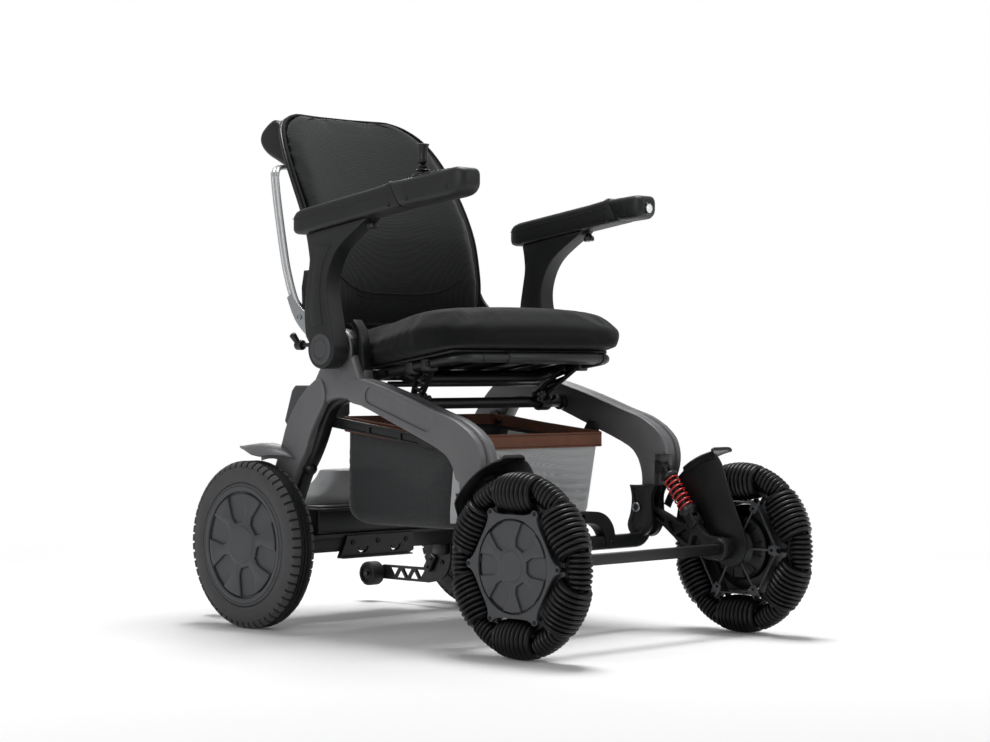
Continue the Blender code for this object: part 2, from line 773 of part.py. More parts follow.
def make_front_axle():
    """The rigid H: two lattice arms and the square beam between the front wheels."""
    pivot_empty = pivot("front_suspension_pivot", (0, station(ARM_PIVOT_STATION), ARM_PIVOT_HEIGHT))
    half = AXLE_SQUARE / 2
    beam_end = SUSPENSION_X - 0.002
    beam = box(
        (-beam_end, station(-half), WHEEL_RADIUS - half), (beam_end, station(half), WHEEL_RADIUS + half)
    )
    outline = (
        arc((ARM_PIVOT_STATION, ARM_PIVOT_HEIGHT), 0.012, -50, 110, 5)
        + [(0.150, 0.226), (0.100, 0.205), (0.078, 0.1985)]
        + arc((SHOCK_FOOT_STATION, SHOCK_FOOT_HEIGHT), 0.009, 30, 190, 4)
        + arc((0, WHEEL_RADIUS), 0.021, 80, 280, 5)
        + [(0.100, 0.170), (0.150, 0.206)]
    )
    holes = (
        [(0.028, 0.158), (0.060, 0.188), (0.068, 0.167)],
        [(0.082, 0.170), (0.074, 0.189), (0.100, 0.196), (0.108, 0.185)],
        [(0.128, 0.198), (0.120, 0.208), (0.150, 0.218)],
    )
    pieces = []
    bores = []
    for _, side in SIDES:
        centre = side * SUSPENSION_X
        pieces.append(plate(outline, centre - ARM_THICKNESS / 2, centre + ARM_THICKNESS / 2, holes))
        bores.append(
            rod(
                (centre - 0.02, station(ARM_PIVOT_STATION), ARM_PIVOT_HEIGHT),
                (centre + 0.02, station(ARM_PIVOT_STATION), ARM_PIVOT_HEIGHT),
                ARM_PIN + 3 * PIVOT_CLEARANCE,
                8,
            )
        )
        bores.append(
            rod(
                (side * (SUSPENSION_X - ARM_THICKNESS / 2 - 0.010), station(0), WHEEL_RADIUS),
                (side * (SUSPENSION_X + 0.02), station(0), WHEEL_RADIUS),
                STUB_RADIUS + 3 * PIVOT_CLEARANCE,
                12,
            )
        )
    join(beam, *pieces)
    cut(beam, *bores)
    pins = [
        rod(
            (side * SUSPENSION_X - 0.0105, station(SHOCK_FOOT_STATION), SHOCK_FOOT_HEIGHT),
            (side * SUSPENSION_X + 0.0105, station(SHOCK_FOOT_STATION), SHOCK_FOOT_HEIGHT),
            SHOCK_PIN,
            6,
        )
        for _, side in SIDES
    ]
    join(beam, *pins)
    hang(finish(beam, "front_axle", BLACK_METAL), pivot_empty)
    return pivot_empty


def make_front_fender(side_name, side, swing):
    """A mudguard blade over the wheel, carried by a wall that is bolted to the arm."""
    centre = (0, WHEEL_RADIUS)
    inner = WHEEL_RADIUS + FENDER_CLEARANCE
    outer = inner + FENDER_THICKNESS
    low, high = sorted((side * (FENDER_WALL_X + 0.001), side * (FRONT_TRACK_HALF + 0.010)))
    blade = plate(arc(centre, inner, 24, 88, 6) + arc(centre, outer, 88, 24, 6), low, high)
    wall_low, wall_high = sorted((side * FENDER_WALL_X, side * (FENDER_WALL_X + FENDER_THICKNESS)))
    wall_outline = (
        arc(centre, inner + FENDER_THICKNESS / 2, 24, 84, 5)
        + [(0.004, 0.262), (-0.022, 0.218), (-0.038, 0.184)]
        + arc(centre, 0.032, 170, 290, 4)
        + [(0.080, 0.180)]
    )
    wall = plate(wall_outline, wall_low, wall_high)
    boss = rod(
        (side * (SUSPENSION_X + ARM_THICKNESS / 2 + GAP), station(0), WHEEL_RADIUS),
        (side * (FENDER_WALL_X + 0.001), station(0), WHEEL_RADIUS),
        0.019,
        12,
    )
    hole = rod(
        (side * SUSPENSION_X, station(0), WHEEL_RADIUS),
        (side * FRONT_TRACK_HALF, station(0), WHEEL_RADIUS),
        STUB_RADIUS + 0.002,
        10,
    )
    notch_low, notch_high = sorted((side * (FENDER_WALL_X - 0.01), side * (FRAME_OUTER + 0.0045)))
    notch = box((notch_low, station(0.1225), 0.190), (notch_high, station(0.200), 0.330))
    join(wall, blade, boss)
    cut(wall, hole, notch)
    hang(finish(wall, f"front_fender_{side_name}", BLACK_PLASTIC), swing)


def make_shock(side_name, side):
    """The damper body above, the rod below and the spring between their seats."""
    x = side * SUSPENSION_X
    top = Vector((x, station(SHOCK_TOP_STATION), SHOCK_TOP_HEIGHT))
    foot = Vector((x, station(SHOCK_FOOT_STATION), SHOCK_FOOT_HEIGHT))
    down = (foot - top).normalized()
    length = (foot - top).length
    tilt = math.atan2(-down.y, -down.z)

    def at(distance, sideways=0.0):
        return top + down * distance + Vector((sideways, 0, 0))

    def cheeks(start, end, gap_inside, thickness):
        made = []
        for way in (-1, 1):
            middle = at((start + end) / 2, way * (gap_inside + thickness / 2))
            size = Vector((thickness, 0.017, end - start)) / 2
            made.append(box(middle - size, middle + size, (-tilt, 0, 0)))
        return made

    upper_seat = 0.026
    lower_seat = length - 0.030
    tube_end = lower_seat - SHOCK_TRAVEL_ROOM
    body = rod(at(0.016), at(tube_end), SHOCK_TUBE_RADIUS, 10)
    join(body, rod(at(0.015), at(upper_seat), SHOCK_SEAT_RADIUS, 12), *cheeks(-0.009, 0.019, 0.004 + GAP, 0.0045))
    upper_bore = rod(top - Vector((0.02, 0, 0)), top + Vector((0.02, 0, 0)), SHOCK_PIN + PIVOT_CLEARANCE * 3, 8)
    rod_start = tube_end - SHOCK_ROD_LAP
    rod_bore = rod(at(rod_start - 0.018), at(tube_end + 0.005), SHOCK_ROD_RADIUS + 2 * PIVOT_CLEARANCE, 8)
    cut(body, upper_bore, rod_bore)
    finish(body, f"shock_body_{side_name}", BLACK_PLASTIC)

    shaft = rod(at(rod_start), at(lower_seat + 0.002), SHOCK_ROD_RADIUS - PIVOT_CLEARANCE, 8)
    join(
        shaft,
        rod(at(lower_seat), at(lower_seat + 0.008), SHOCK_SEAT_RADIUS, 12),
        *cheeks(lower_seat + 0.006, length + 0.009, ARM_THICKNESS / 2 + 0.0008, 0.0035),
    )
    lower_bore = rod(foot - Vector((0.02, 0, 0)), foot + Vector((0.02, 0, 0)), SHOCK_PIN + LINK_CLEARANCE, 10)
    cut(shaft, lower_bore)
    finish(shaft, f"shock_rod_{side_name}", BRIGHT_METAL)

    start, end = upper_seat + GAP, lower_seat - GAP
    across_axis = Vector((1, 0, 0))
    third = down.cross(across_axis)
    coils = SPRING_TURNS * 8
    rise = end - start - 2 * SPRING_WIRE
    path = [at(start) + across_axis * SPRING_RADIUS]
    for step in range(coils + 1):
        turn = 2 * math.pi * step / 8
        ring = across_axis * math.cos(turn) + third * math.sin(turn)
        path.append(at(start + SPRING_WIRE + rise * step / coils) + ring * SPRING_RADIUS)
    path.append(at(end) + across_axis * SPRING_RADIUS)
    print("spring, least gap between turns:", round((rise / SPRING_TURNS - SPRING_WIRE) * 1000, 2), "mm")
    spring = tube(path, SPRING_WIRE / 2, 1)
    finish(spring, f"shock_spring_{side_name}", SPRING_RED)


def seat_point(x, along, up):
    """A point in the seat's own tilted frame, from its front underside."""
    return Vector(
        (
            x,
            station(SEAT_FRONT_STATION) + along * math.cos(SEAT_TILT) + up * math.sin(SEAT_TILT),
            SEAT_FRONT_HEIGHT - along * math.sin(SEAT_TILT) + up * math.cos(SEAT_TILT),
        )
    )


def seat_box(x_range, along_range, up_range):
    middle = seat_point(*(sum(r) / 2 for r in (x_range, along_range, up_range)))
    size = Vector([r[1] - r[0] for r in (x_range, along_range, up_range)]) / 2
    return box(middle - size, middle + size, (-SEAT_TILT, 0, 0))


def make_cross_tube():
    end = FRAME_INNER - GAP
    bar = rod(
        (-end, station(CROSS_TUBE_STATION), CROSS_TUBE_HEIGHT),
        (end, station(CROSS_TUBE_STATION), CROSS_TUBE_HEIGHT),
        TUBE_RADIUS,
        16,
    )
    finish(bar, "front_cross_tube", BLACK_METAL)


def make_seat_frame():
    """Side rails joined by a bent front rail, a rear bar, a lower bar and two pairs of struts."""
    rail_up = -PAN_THICKNESS - 2 * GAP - RAIL_RADIUS
    rear = REAR_BAR_ALONG
    corners = [(-RAIL_X, rear), (-RAIL_X, 0.018), (RAIL_X, 0.018), (RAIL_X, rear)]
    rails = tube(bent([seat_point(x, along, rail_up) for x, along in corners], 0.03), RAIL_RADIUS, 2)
    end = FRAME_INNER - GAP
    rear_left = seat_point(end, rear, rail_up)
    lower_y, lower_z = station(LOWER_BAR_STATION), LOWER_BAR_HEIGHT
    lower_half = STRUT_X - 0.005
    pieces = [
        rod(seat_point(-end, rear, rail_up), rear_left, 0.010, 10),
        rod((-lower_half, lower_y, lower_z), (lower_half, lower_y, lower_z), 0.008, 8),
        rod(seat_point(-0.085, 0.018, rail_up), seat_point(0.085, 0.018, rail_up), RAIL_RADIUS + 0.0025, 10),
    ]
    tube_top = CROSS_TUBE_HEIGHT + TUBE_RADIUS
    for _, side in SIDES:
        x = side * STRUT_X
        clamp = side * (STRUT_X + 0.020)
        foot = Vector((x, station(CROSS_TUBE_STATION), tube_top + 0.006))
        pieces += [
            box(
                (x - 0.014, station(CROSS_TUBE_STATION - 0.014), tube_top + GAP),
                (x + 0.014, station(CROSS_TUBE_STATION + 0.014), tube_top + 0.010),
            ),
            rod(foot, seat_point(clamp, 0.100, rail_up), 0.0065, 6),
            rod(foot, seat_point(clamp, 0.170, rail_up), 0.0065, 6),
            rod(foot, (x - side * 0.01, lower_y, lower_z), 0.006, 6),
            seat_box(
                sorted((clamp - side * 0.007, clamp + side * 0.019)),
                (0.085, 0.185),
                (rail_up - 0.004, rail_up + 0.004),
            ),
        ]
    join(rails, *pieces)
    finish(rails, "seat_frame", BLACK_METAL)


def make_seat_pan():
    half = RAIL_X + PAN_LAP
    pan = seat_box((-half, half), (0.030, SEAT_LENGTH - 0.04), (-PAN_THICKNESS - GAP, -GAP))
    finish(pan, "seat_pan", GREY_PAINT)


def make_seat_cushion():
    """A crowned cushion from a coarse cage. It widens in front of the columns."""
    cells = 4
    edge, crown = 0.042, 0.046
    shape = bmesh.new()
    bmesh.ops.create_cube(shape, size=1)
    bmesh.ops.subdivide_edges(shape, edges=shape.edges, cuts=cells - 1, use_grid_fill=True)
    for vert in shape.verts:
        across_share, along_share, up_share = (2 * c for c in vert.co)
        drawn = 1 - 0.04 * up_share**2
        flare = SEAT_FRONT_FLARE * min(1.0, max(0.0, 0.25 - along_share) / 0.75)
        x = across_share * (SEAT_HALF_WIDTH + flare) * drawn
        along = (along_share * drawn + 1) / 2 * SEAT_LENGTH
        dome = (1 - across_share**2) * (1 - 0.55 * along_share**2)
        top = edge + crown * dome
        up = top if up_share > 0.99 else 0.0 if up_share < -0.99 else (up_share + 1) / 2 * top
        vert.co = seat_point(x, along, up + GAP)
    obj = helper("cushion", mesh_from("cushion", shape))
    soften = obj.modifiers.new("Subdivision", "SUBSURF")
    soften.levels = 1
    soften.render_levels = 1
    finish(obj, "seat_cushion", SEAT_FABRIC)


# The backrest's middle line from its foot to its top: distance behind the pivot, height above it, and how far
# its edge lies inside the frame's inner face.
BACK_ROWS = (
    (BACK_FOOT, 0.082, 0.008),
    (BACK_FOOT, 0.118, 0.003),
    (0.143, 0.168, 0.002),
    (0.153, 0.218, 0.002),
    (0.173, 0.268, 0.004),
    (0.198, 0.318, 0.007),
    (0.225, 0.368, 0.012),
    (0.250, 0.408, 0.020),
    (0.270, 0.435, 0.034),
    (0.284, 0.454, 0.059),
    (0.293, 0.464, 0.100),
)


def from_pivot(points):
    """Stations and heights from distances behind and above the pivot that the arms and the back turn on."""
    return [(PIVOT_STATION + distance, PIVOT_HEIGHT + height) for distance, height in points]


def back_grid(forward):
    """The backrest's hollow surface, moved forward by a distance."""
    rows = len(BACK_ROWS) - 1
    columns = 4
    shape = bmesh.new()
    bmesh.ops.create_grid(shape, x_segments=columns, y_segments=rows, size=1)
    for vert in shape.verts:
        row = BACK_ROWS[round((vert.co.y + 1) / 2 * rows)]
        share = vert.co.x
        half = FRAME_INNER - row[2]
        bow = BACK_HOLLOW * share**2 * half / (FRAME_INNER - BACK_ROWS[0][2])
        vert.co = (share * half, station(PIVOT_STATION + row[0]) - bow - forward, PIVOT_HEIGHT + row[1])
    return helper("back", mesh_from("back", shape))


def pod_underside(distance):
    """Height of the underside of the pod behind the headrest."""
    return PIVOT_HEIGHT + POD_LIFT + (distance - PIVOT_STATION - POD_FRONT) * 0.1034


def make_backrest():
    recline = pivot("backrest_pivot", (0, station(PIVOT_STATION), PIVOT_HEIGHT))
    pad = back_grid(0.0008)
    thick = pad.modifiers.new("Solidify", "SOLIDIFY")
    thick.thickness = PAD_THICKNESS
    thick.offset = 1
    hang(finish(pad, "back_pad", SEAT_FABRIC), recline)

    shell = back_grid(0.0)
    thick = shell.modifiers.new("Solidify", "SOLIDIFY")
    thick.thickness = SHELL_THICKNESS
    thick.offset = -1
    pod_ends = [PIVOT_STATION + distance for distance in (POD_FRONT, POD_FRONT + 0.058)]
    pod_outline = [(distance, pod_underside(distance)) for distance in pod_ends]
    pod_outline += from_pivot(
        [(0.340, 0.386), (0.353, 0.404), (0.348, 0.428), (0.326, 0.450), (0.295, 0.458), (0.274, 0.435), (0.254, 0.408)]
    )
    join(shell, plate(pod_outline, -POD_HALF_WIDTH, POD_HALF_WIDTH))
    hang(finish(shell, "back_shell", BLACK_PLASTIC), recline)

    climb = from_pivot(
        [(0.138, 0.058), (0.166, 0.099), (0.185, 0.156), (0.200, 0.217), (0.215, 0.280), (0.236, 0.346)]
    )
    path = [(-HOOP_X, station(s), z) for s, z in climb]
    path += [(x, station(HOOP_BAR_STATION), HOOP_BAR_HEIGHT) for x in (-HOOP_BAR_HALF, HOOP_BAR_HALF)]
    path += [(HOOP_X, station(s), z) for s, z in climb[::-1]]
    hoop = tube(bent(path, 0.03, 2), HOOP_RADIUS, 1)
    pieces = []
    bores = []
    clip_front = HOOP_BAR_STATION - HOOP_CLIP
    clip_top = pod_underside(clip_front) - GAP
    for x in (-0.090, 0.090):
        pieces.append(
            box(
                (x - HOOP_CLIP, station(clip_front), HOOP_BAR_HEIGHT),
                (x + HOOP_CLIP, station(HOOP_BAR_STATION + HOOP_CLIP), clip_top),
            )
        )
    for _, side in SIDES:
        low, high = sorted((side * (FRAME_INNER + GAP), side * (FRAME_INNER + HOOP_PLATE)))
        outline = arc((PIVOT_STATION, PIVOT_HEIGHT), 0.022, 110, 290, 5)
        outline += from_pivot([(0.058, 0.002), (0.114, 0.024), (0.150, 0.056), (0.174, 0.100)])
        outline += from_pivot([(0.160, 0.106), (0.130, 0.076), (0.088, 0.052), (0.038, 0.034)])
        pieces.append(plate(outline, low, high))
        bores.append(
            rod(
                (side * (FRAME_INNER - 0.01), station(PIVOT_STATION), PIVOT_HEIGHT),
                (side * (FRAME_OUTER), station(PIVOT_STATION), PIVOT_HEIGHT),
                PIVOT_PIN + 3 * PIVOT_CLEARANCE,
                12,
            )
        )
    join(hoop, *pieces)
    cut(hoop, *bores)
    hang(finish(hoop, "back_hoop", LIGHT_GREY), recline)


def rest_underside(distance):
    """Height of an armrest's underside at a station."""
    return REST_REAR_HEIGHT + (REST_REAR_STATION - distance) * REST_SLOPE


def make_arm(side_name, side):
    flip = pivot(f"arm_{side_name}_pivot", (side * ARM_X, station(PIVOT_STATION), PIVOT_HEIGHT))
    low, high = sorted((side * (FRAME_OUTER + GAP), side * (FRAME_OUTER + GAP + POST_THICKNESS)))
    front = from_pivot([(-0.020, 0.030), (-0.002, 0.078), (-0.005, 0.123), (-0.032, 0.168), (-0.082, 0.206)])
    rear = from_pivot([(0.060, 0.178), (0.063, 0.148), (0.056, 0.098), (0.046, 0.048)])
    foot = arc((PIVOT_STATION, PIVOT_HEIGHT), POST_FOOT_RADIUS, 20, -200, 7)
    top_ends = (PIVOT_STATION - 0.110, PIVOT_STATION + 0.054)
    top = [(distance, rest_underside(distance) - GAP) for distance in top_ends]
    post = plate(foot + front + top + rear, low, high)
    cap_face = FRAME_OUTER + GAP + POST_THICKNESS
    cap = rod(
        (side * (cap_face - 0.004), station(PIVOT_STATION), PIVOT_HEIGHT),
        (side * (cap_face + 0.0015), station(PIVOT_STATION), PIVOT_HEIGHT),
        0.021,
        14,
    )
    bore = rod(
        (side * (FRAME_OUTER - 0.01), station(PIVOT_STATION), PIVOT_HEIGHT),
        (side * (ARM_X + 0.0115), station(PIVOT_STATION), PIVOT_HEIGHT),
        PIVOT_PIN + 3 * PIVOT_CLEARANCE,
        12,
    )
    stem_bore = rod(
        (side * ARM_X, station(PIVOT_STATION + 0.022), LEVER_HEIGHT),
        (side * ARM_X, station(PIVOT_STATION + 0.058), LEVER_HEIGHT),
        0.004 + 2 * GAP,
        10,
    )
    join(post, cap)
    cut(post, bore, stem_bore)
    hang(finish(post, f"arm_post_{side_name}", BLACK_PLASTIC), flip)

    rest_low, rest_high = sorted((side * (ARM_X - REST_WIDTH / 2), side * (ARM_X + REST_WIDTH / 2)))
    rear_low, rear_high = REST_REAR_HEIGHT, REST_REAR_HEIGHT + REST_HEIGHT
    rest_outline = [
        (REST_REAR_STATION - 0.010, rest_underside(REST_REAR_STATION - 0.010)),
        (REST_REAR_STATION, rear_low + 0.012),
        (REST_REAR_STATION, rear_high - 0.010),
        (REST_REAR_STATION - 0.012, rest_underside(REST_REAR_STATION - 0.012) + REST_HEIGHT),
        (SEAM_STATION + SEAM_LEAN, rest_underside(SEAM_STATION + SEAM_LEAN) + REST_HEIGHT),
        (SEAM_STATION, rest_underside(SEAM_STATION)),
    ]
    rest = plate(rest_outline, rest_low, rest_high, edge=0.006)
    lean = math.atan(REST_SLOPE)

    def inside_rest(distance, up, size):
        """A box lined up with the armrest, its middle above the underside."""
        middle = Vector((side * ARM_X, station(distance), rest_underside(distance) + up))
        return box(middle - Vector(size) / 2, middle + Vector(size) / 2, (-lean, 0, 0))

    tongue_middle = SEAM_STATION + SEAM_LEAN + 0.030
    socket = inside_rest(
        tongue_middle, 0.020, (TONGUE_WIDTH + 2 * GAP, TONGUE_LENGTH + 0.01, TONGUE_HEIGHT + 2 * GAP)
    )
    normal = Vector((0, math.sin(lean), math.cos(lean)))
    screw_foot = Vector((side * ARM_X, station(SCREW_STATION), rest_underside(SCREW_STATION)))
    screw_hole = rod(screw_foot - normal * 0.005, screw_foot + normal * 0.018, 0.003 + 2 * GAP, 12)
    cut(rest, socket, screw_hole)
    hang(finish(rest, f"armrest_{side_name}", BLACK_PLASTIC), flip)

    screw = rod(screw_foot - normal * 0.014, screw_foot + normal * 0.0130, 0.003, 10)
    join(screw, rod(screw_foot - normal * 0.020, screw_foot - normal * 0.006, 0.0095, 12))
    screw_pivot = pivot(f"thumb_screw_{side_name}_pivot", screw_foot)
    hang(finish(screw, f"thumb_screw_{side_name}", BLACK_PLASTIC), screw_pivot)

    tongue = inside_rest(tongue_middle - 0.005, 0.020, (TONGUE_WIDTH, TONGUE_LENGTH, TONGUE_HEIGHT))
    seam = [
        (SEAM_STATION - 2 * GAP, rest_underside(SEAM_STATION)),
        (SEAM_STATION + SEAM_LEAN - 2 * GAP, rest_underside(SEAM_STATION + SEAM_LEAN) + REST_HEIGHT),
    ]
    slide = pivot(f"pod_{side_name}_slide", (side * ARM_X, station(SEAM_STATION), rest_underside(SEAM_STATION)))
    if side < 0:
        make_control_pod(seam, rest_low, rest_high, tongue, slide)
    else:
        make_lamp_pod(seam, rest_low, rest_high, tongue, slide)

    elbow = Vector((side * ARM_X, station(PIVOT_STATION + 0.093), LEVER_HEIGHT))
    tip = elbow + Vector((side * 0.016, 0.010, 0.026))
    lever = rod(Vector((side * ARM_X, station(PIVOT_STATION + 0.028), LEVER_HEIGHT)), elbow, 0.004, 8)
    join(
        lever,
        rod(elbow - Vector((0, 0.010, 0)), elbow + Vector((0, 0.006, 0)), 0.0095, 10),
        rod(elbow, tip, 0.0055, 6, 0.007),
    )
    lever_pivot = pivot(f"release_lever_{side_name}_pivot", elbow)
    hang(finish(lever, f"release_lever_{side_name}", BLACK_PLASTIC), lever_pivot)


def pod_top(distance):
    """Height of a pod's top at a station: it goes on from the armrest's top at its own slope."""
    seam = SEAM_STATION + SEAM_LEAN
    return rest_underside(seam) + REST_HEIGHT + (seam - distance) * POD_SLOPE


def from_seam(points):
    """Stations and heights from distances in front of an armrest's seam and above its lower edge."""
    return [(SEAM_STATION - distance, rest_underside(SEAM_STATION) + height) for distance, height in points]


def make_control_pod(seam, low, high, tongue, slide):
    """The controller with its joystick well and button recess."""
    brow = SEAM_STATION - 0.151
    nose = [(brow, pod_top(brow)), *from_seam([(0.177, 0.061), (0.191, 0.046), (0.177, 0.023), (0.151, 0.010)])]
    pod = plate(seam + nose, low, high, edge=0.006)
    join(pod, tongue)
    x = -ARM_X
    stick = Vector((x, station(JOYSTICK_STATION), pod_top(JOYSTICK_STATION)))
    up = Vector((0, 0, 1))
    well = rod(stick - up * 0.026, stick + up * 0.020, WELL_RADIUS, 16)
    button_foot = Vector((x, station(BUTTON_STATION), pod_top(BUTTON_STATION)))
    recess = rod(button_foot - up * 0.0030, button_foot + up * 0.020, BUTTON_RADIUS + 2 * GAP, 12)
    cut(pod, well, recess)
    hang(finish(pod, "control_pod", BLACK_PLASTIC), slide)

    button = rod(button_foot - up * (0.0030 - GAP - BUTTON_TRAVEL), button_foot + up * 0.0030, BUTTON_RADIUS, 12)
    hang(finish(button, "power_button", BLACK_METAL), pivot("power_button_slide", button_foot))

    centre = stick - up * 0.012
    ring = turned([(0.0105, 0.003), (0.0105, -0.003), (0.0068, -0.003), (0.0068, 0.003)], 8, closed=True)
    ring.location = centre
    join(ring, rod(centre + Vector((0.009, 0, 0)), centre + Vector((0.0136, 0, 0)), 0.0015, 6))
    join(ring, rod(centre - Vector((0.009, 0, 0)), centre - Vector((0.0136, 0, 0)), 0.0015, 6))
    tilt = pivot("joystick_pivot", centre)
    hang(finish(ring, "joystick_gimbal", BRIGHT_METAL), tilt)

    grip = turned(
        [
            (0, 0.0705),
            (0.0100, 0.0695),
            (0.0060, 0.056),
            (0.0062, 0.046),
            (0.0085, 0.040),
            (0.0042, 0.036),
            (0.0034, -0.003),
            (0, -0.003),
        ],
        8,
    )
    grip.location = centre
    axle = rod(centre - Vector((0, 0.0064, 0)), centre + Vector((0, 0.0064, 0)), 0.0015, 6)
    join(grip, axle)
    hang(finish(grip, "joystick_stick", BLACK_PLASTIC), tilt)

    boot = turned(
        [
            (BOOT_RADIUS + 0.0014, 0.0190),
            (BOOT_RADIUS + 0.0069, 0.0170),
            (BOOT_RADIUS + 0.0069, 0.0150),
            (BOOT_RADIUS + 0.0010, 0.0150),
            (BOOT_RADIUS + 0.0010, 0.0080),
            (BOOT_RADIUS, 0.0080),
            (BOOT_RADIUS, 0.0190),
        ],
        10,
        closed=True,
    )
    boot.location = centre
    hang(finish(boot, "joystick_boot", ROLLER_RUBBER), slide)


def make_lamp_pod(seam, low, high, tongue, slide):
    """The left pod, which ends in a small round lamp."""
    nose = from_seam([(0.056, 0.0525), (0.080, 0.048), (0.092, 0.033), (0.092, 0.019), (0.082, 0.010), (0.069, 0.008)])
    pod = plate(seam + nose, low, high, edge=0.006)
    join(pod, tongue)
    lens_rear = SEAM_STATION - 0.0847
    lens_z = rest_underside(SEAM_STATION) + 0.0265
    socket = rod(
        (ARM_X, station(lens_rear - 0.026), lens_z), (ARM_X, station(lens_rear + GAP), lens_z), LENS_RADIUS + 2 * GAP, 16
    )
    cut(pod, socket)
    hang(finish(pod, "lamp_pod", BLACK_PLASTIC), slide)
    lens = rod((ARM_X, station(lens_rear), lens_z), (ARM_X, station(lens_rear - 0.0088), lens_z), LENS_RADIUS, 16)
    hang(finish(lens, "lamp_lens", LAMP_WHITE), slide)


def basket_height(distance):
    """Height of the basket's top edge at a station."""
    return 0.367 + (distance - BASKET_FRONT) / (BASKET_REAR - BASKET_FRONT) * 0.031


def make_basket():
    slope = math.atan(0.031 / (BASKET_REAR - BASKET_FRONT))
    length = (BASKET_REAR - BASKET_FRONT) / math.cos(slope)
    middle_y = station((BASKET_FRONT + BASKET_REAR) / 2)
    middle_z = (basket_height(BASKET_FRONT) + basket_height(BASKET_REAR)) / 2 - BASKET_BAND / 2
    middle = Vector((0, middle_y, middle_z))
    size = Vector((BASKET_HALF_WIDTH, length / 2, BASKET_BAND / 2))
    rim = box(middle - size, middle + size, (slope, 0, 0))
    inner = size - Vector((BASKET_WALL, BASKET_WALL, -0.02))
    pieces = []
    slots = [box(middle - inner, middle + inner, (slope, 0, 0))]
    for _, side in SIDES:
        low, high = sorted((side * (FRAME_INNER - 0.0062), side * (FRAME_INNER - GAP)))
        outline = [
            (0.288, 0.349),
            (0.590, 0.382),
            (0.592, 0.398),
            (0.320, 0.370),
            (0.318, 0.392),
            (0.300, 0.388),
            (0.288, 0.366),
        ]
        slot_holes = [
            [(s, 0.3535 + (s - 0.288) * 0.1093), (s + 0.05, 0.3590 + (s - 0.288) * 0.1093)]
            + [(s + 0.05, 0.3665 + (s - 0.288) * 0.1093), (s, 0.3610 + (s - 0.288) * 0.1093)]
            for s in (0.345, 0.445)
        ]
        pieces.append(plate(outline, low, high, slot_holes))
        for distance in (0.300, 0.540):
            height = basket_height(distance) - 0.014
            tab_low, tab_high = sorted((side * (BASKET_HALF_WIDTH - 0.001), side * (FRAME_INNER - 0.004)))
            pieces.append(
                box(
                    (tab_low, station(distance - 0.008), height - 0.005),
                    (tab_high, station(distance + 0.008), height + 0.005),
                )
            )
    cut(rim, *slots)
    join(rim, *pieces)
    finish(rim, "basket_rim", BROWN_BAND)

    wall = BASKET_WALL - 0.0005
    half = BASKET_HALF_WIDTH - BASKET_WALL - GAP
    front, rear = BASKET_FRONT + BASKET_WALL + 0.001, BASKET_REAR - BASKET_WALL - 0.001

    def tub(inset, top):
        return [
            (front + inset, basket_height(front) - top),
            (front + 0.012 + inset, 0.235 + inset),
            (0.301, 0.212 + inset),
            (0.400, 0.198 + inset),
            (0.525, 0.196 + inset),
            (0.550 - inset, 0.225 + inset),
            (rear - inset, basket_height(rear) - top),
        ]

    net = plate(tub(0, 0.014), -half, half)
    cut(net, plate(tub(wall, 0.004), -half + wall, half - wall))
    finish(net, "basket_net", NET_GREY)


def make_rear_beam():
    """The axle beam with its hanging plate and both anti-tip arms."""
    end = FRAME_INNER - GAP
    beam = box((-end, station(WHEELBASE - 0.020), 0.133), (end, station(WHEELBASE + 0.020), 0.170))
    plate_outline = [(-0.080, 0.122), (0.088, 0.122), (0.088, 0.162), (-0.080, 0.162)]
    hanging = sheet_across(plate_outline, station(WHEELBASE - 0.028), station(WHEELBASE - 0.018))
    pieces = [hanging]
    for _, side in SIDES:
        low, high = sorted((side * (TIP_WHEEL_X + TIP_WHEEL_HALF + GAP), side * (FRAME_INNER - GAP)))
        outline = (
            from_rear_axle([(0.0, 0.138), (-0.002, 0.098), (0.022, 0.072), (0.045, 0.070)])
            + arc((TIP_WHEEL_STATION, TIP_WHEEL_HEIGHT), 0.010, -110, 80, 4)
            + from_rear_axle([(0.062, 0.106), (0.038, 0.140)])
        )
        windows = (
            from_rear_axle([(0.060, 0.077), (0.048, 0.098), (0.074, 0.090)]),
            from_rear_axle([(0.092, 0.085), (0.072, 0.074), (0.115, 0.069)]),
            from_rear_axle([(0.110, 0.080), (0.132, 0.067), (0.156, 0.069)]),
        )
        pieces.append(plate(outline, low, high, windows))
        pieces.append(
            rod(
                (side * (FRAME_INNER - 0.001), station(TIP_WHEEL_STATION), TIP_WHEEL_HEIGHT),
                (side * (TIP_WHEEL_X - TIP_WHEEL_HALF - 0.003), station(TIP_WHEEL_STATION), TIP_WHEEL_HEIGHT),
                0.005,
                10,
            )
        )
    join(beam, *pieces)
    drilled = (station(WHEELBASE - 0.040), station(WHEELBASE - 0.021))
    holes = [rod((x, drilled[0], 0.137), (x, drilled[1], 0.137), 0.008, 8) for x in (-0.045, 0.052)]
    cut(beam, *holes)
    finish(beam, "rear_axle_beam", BLACK_METAL)


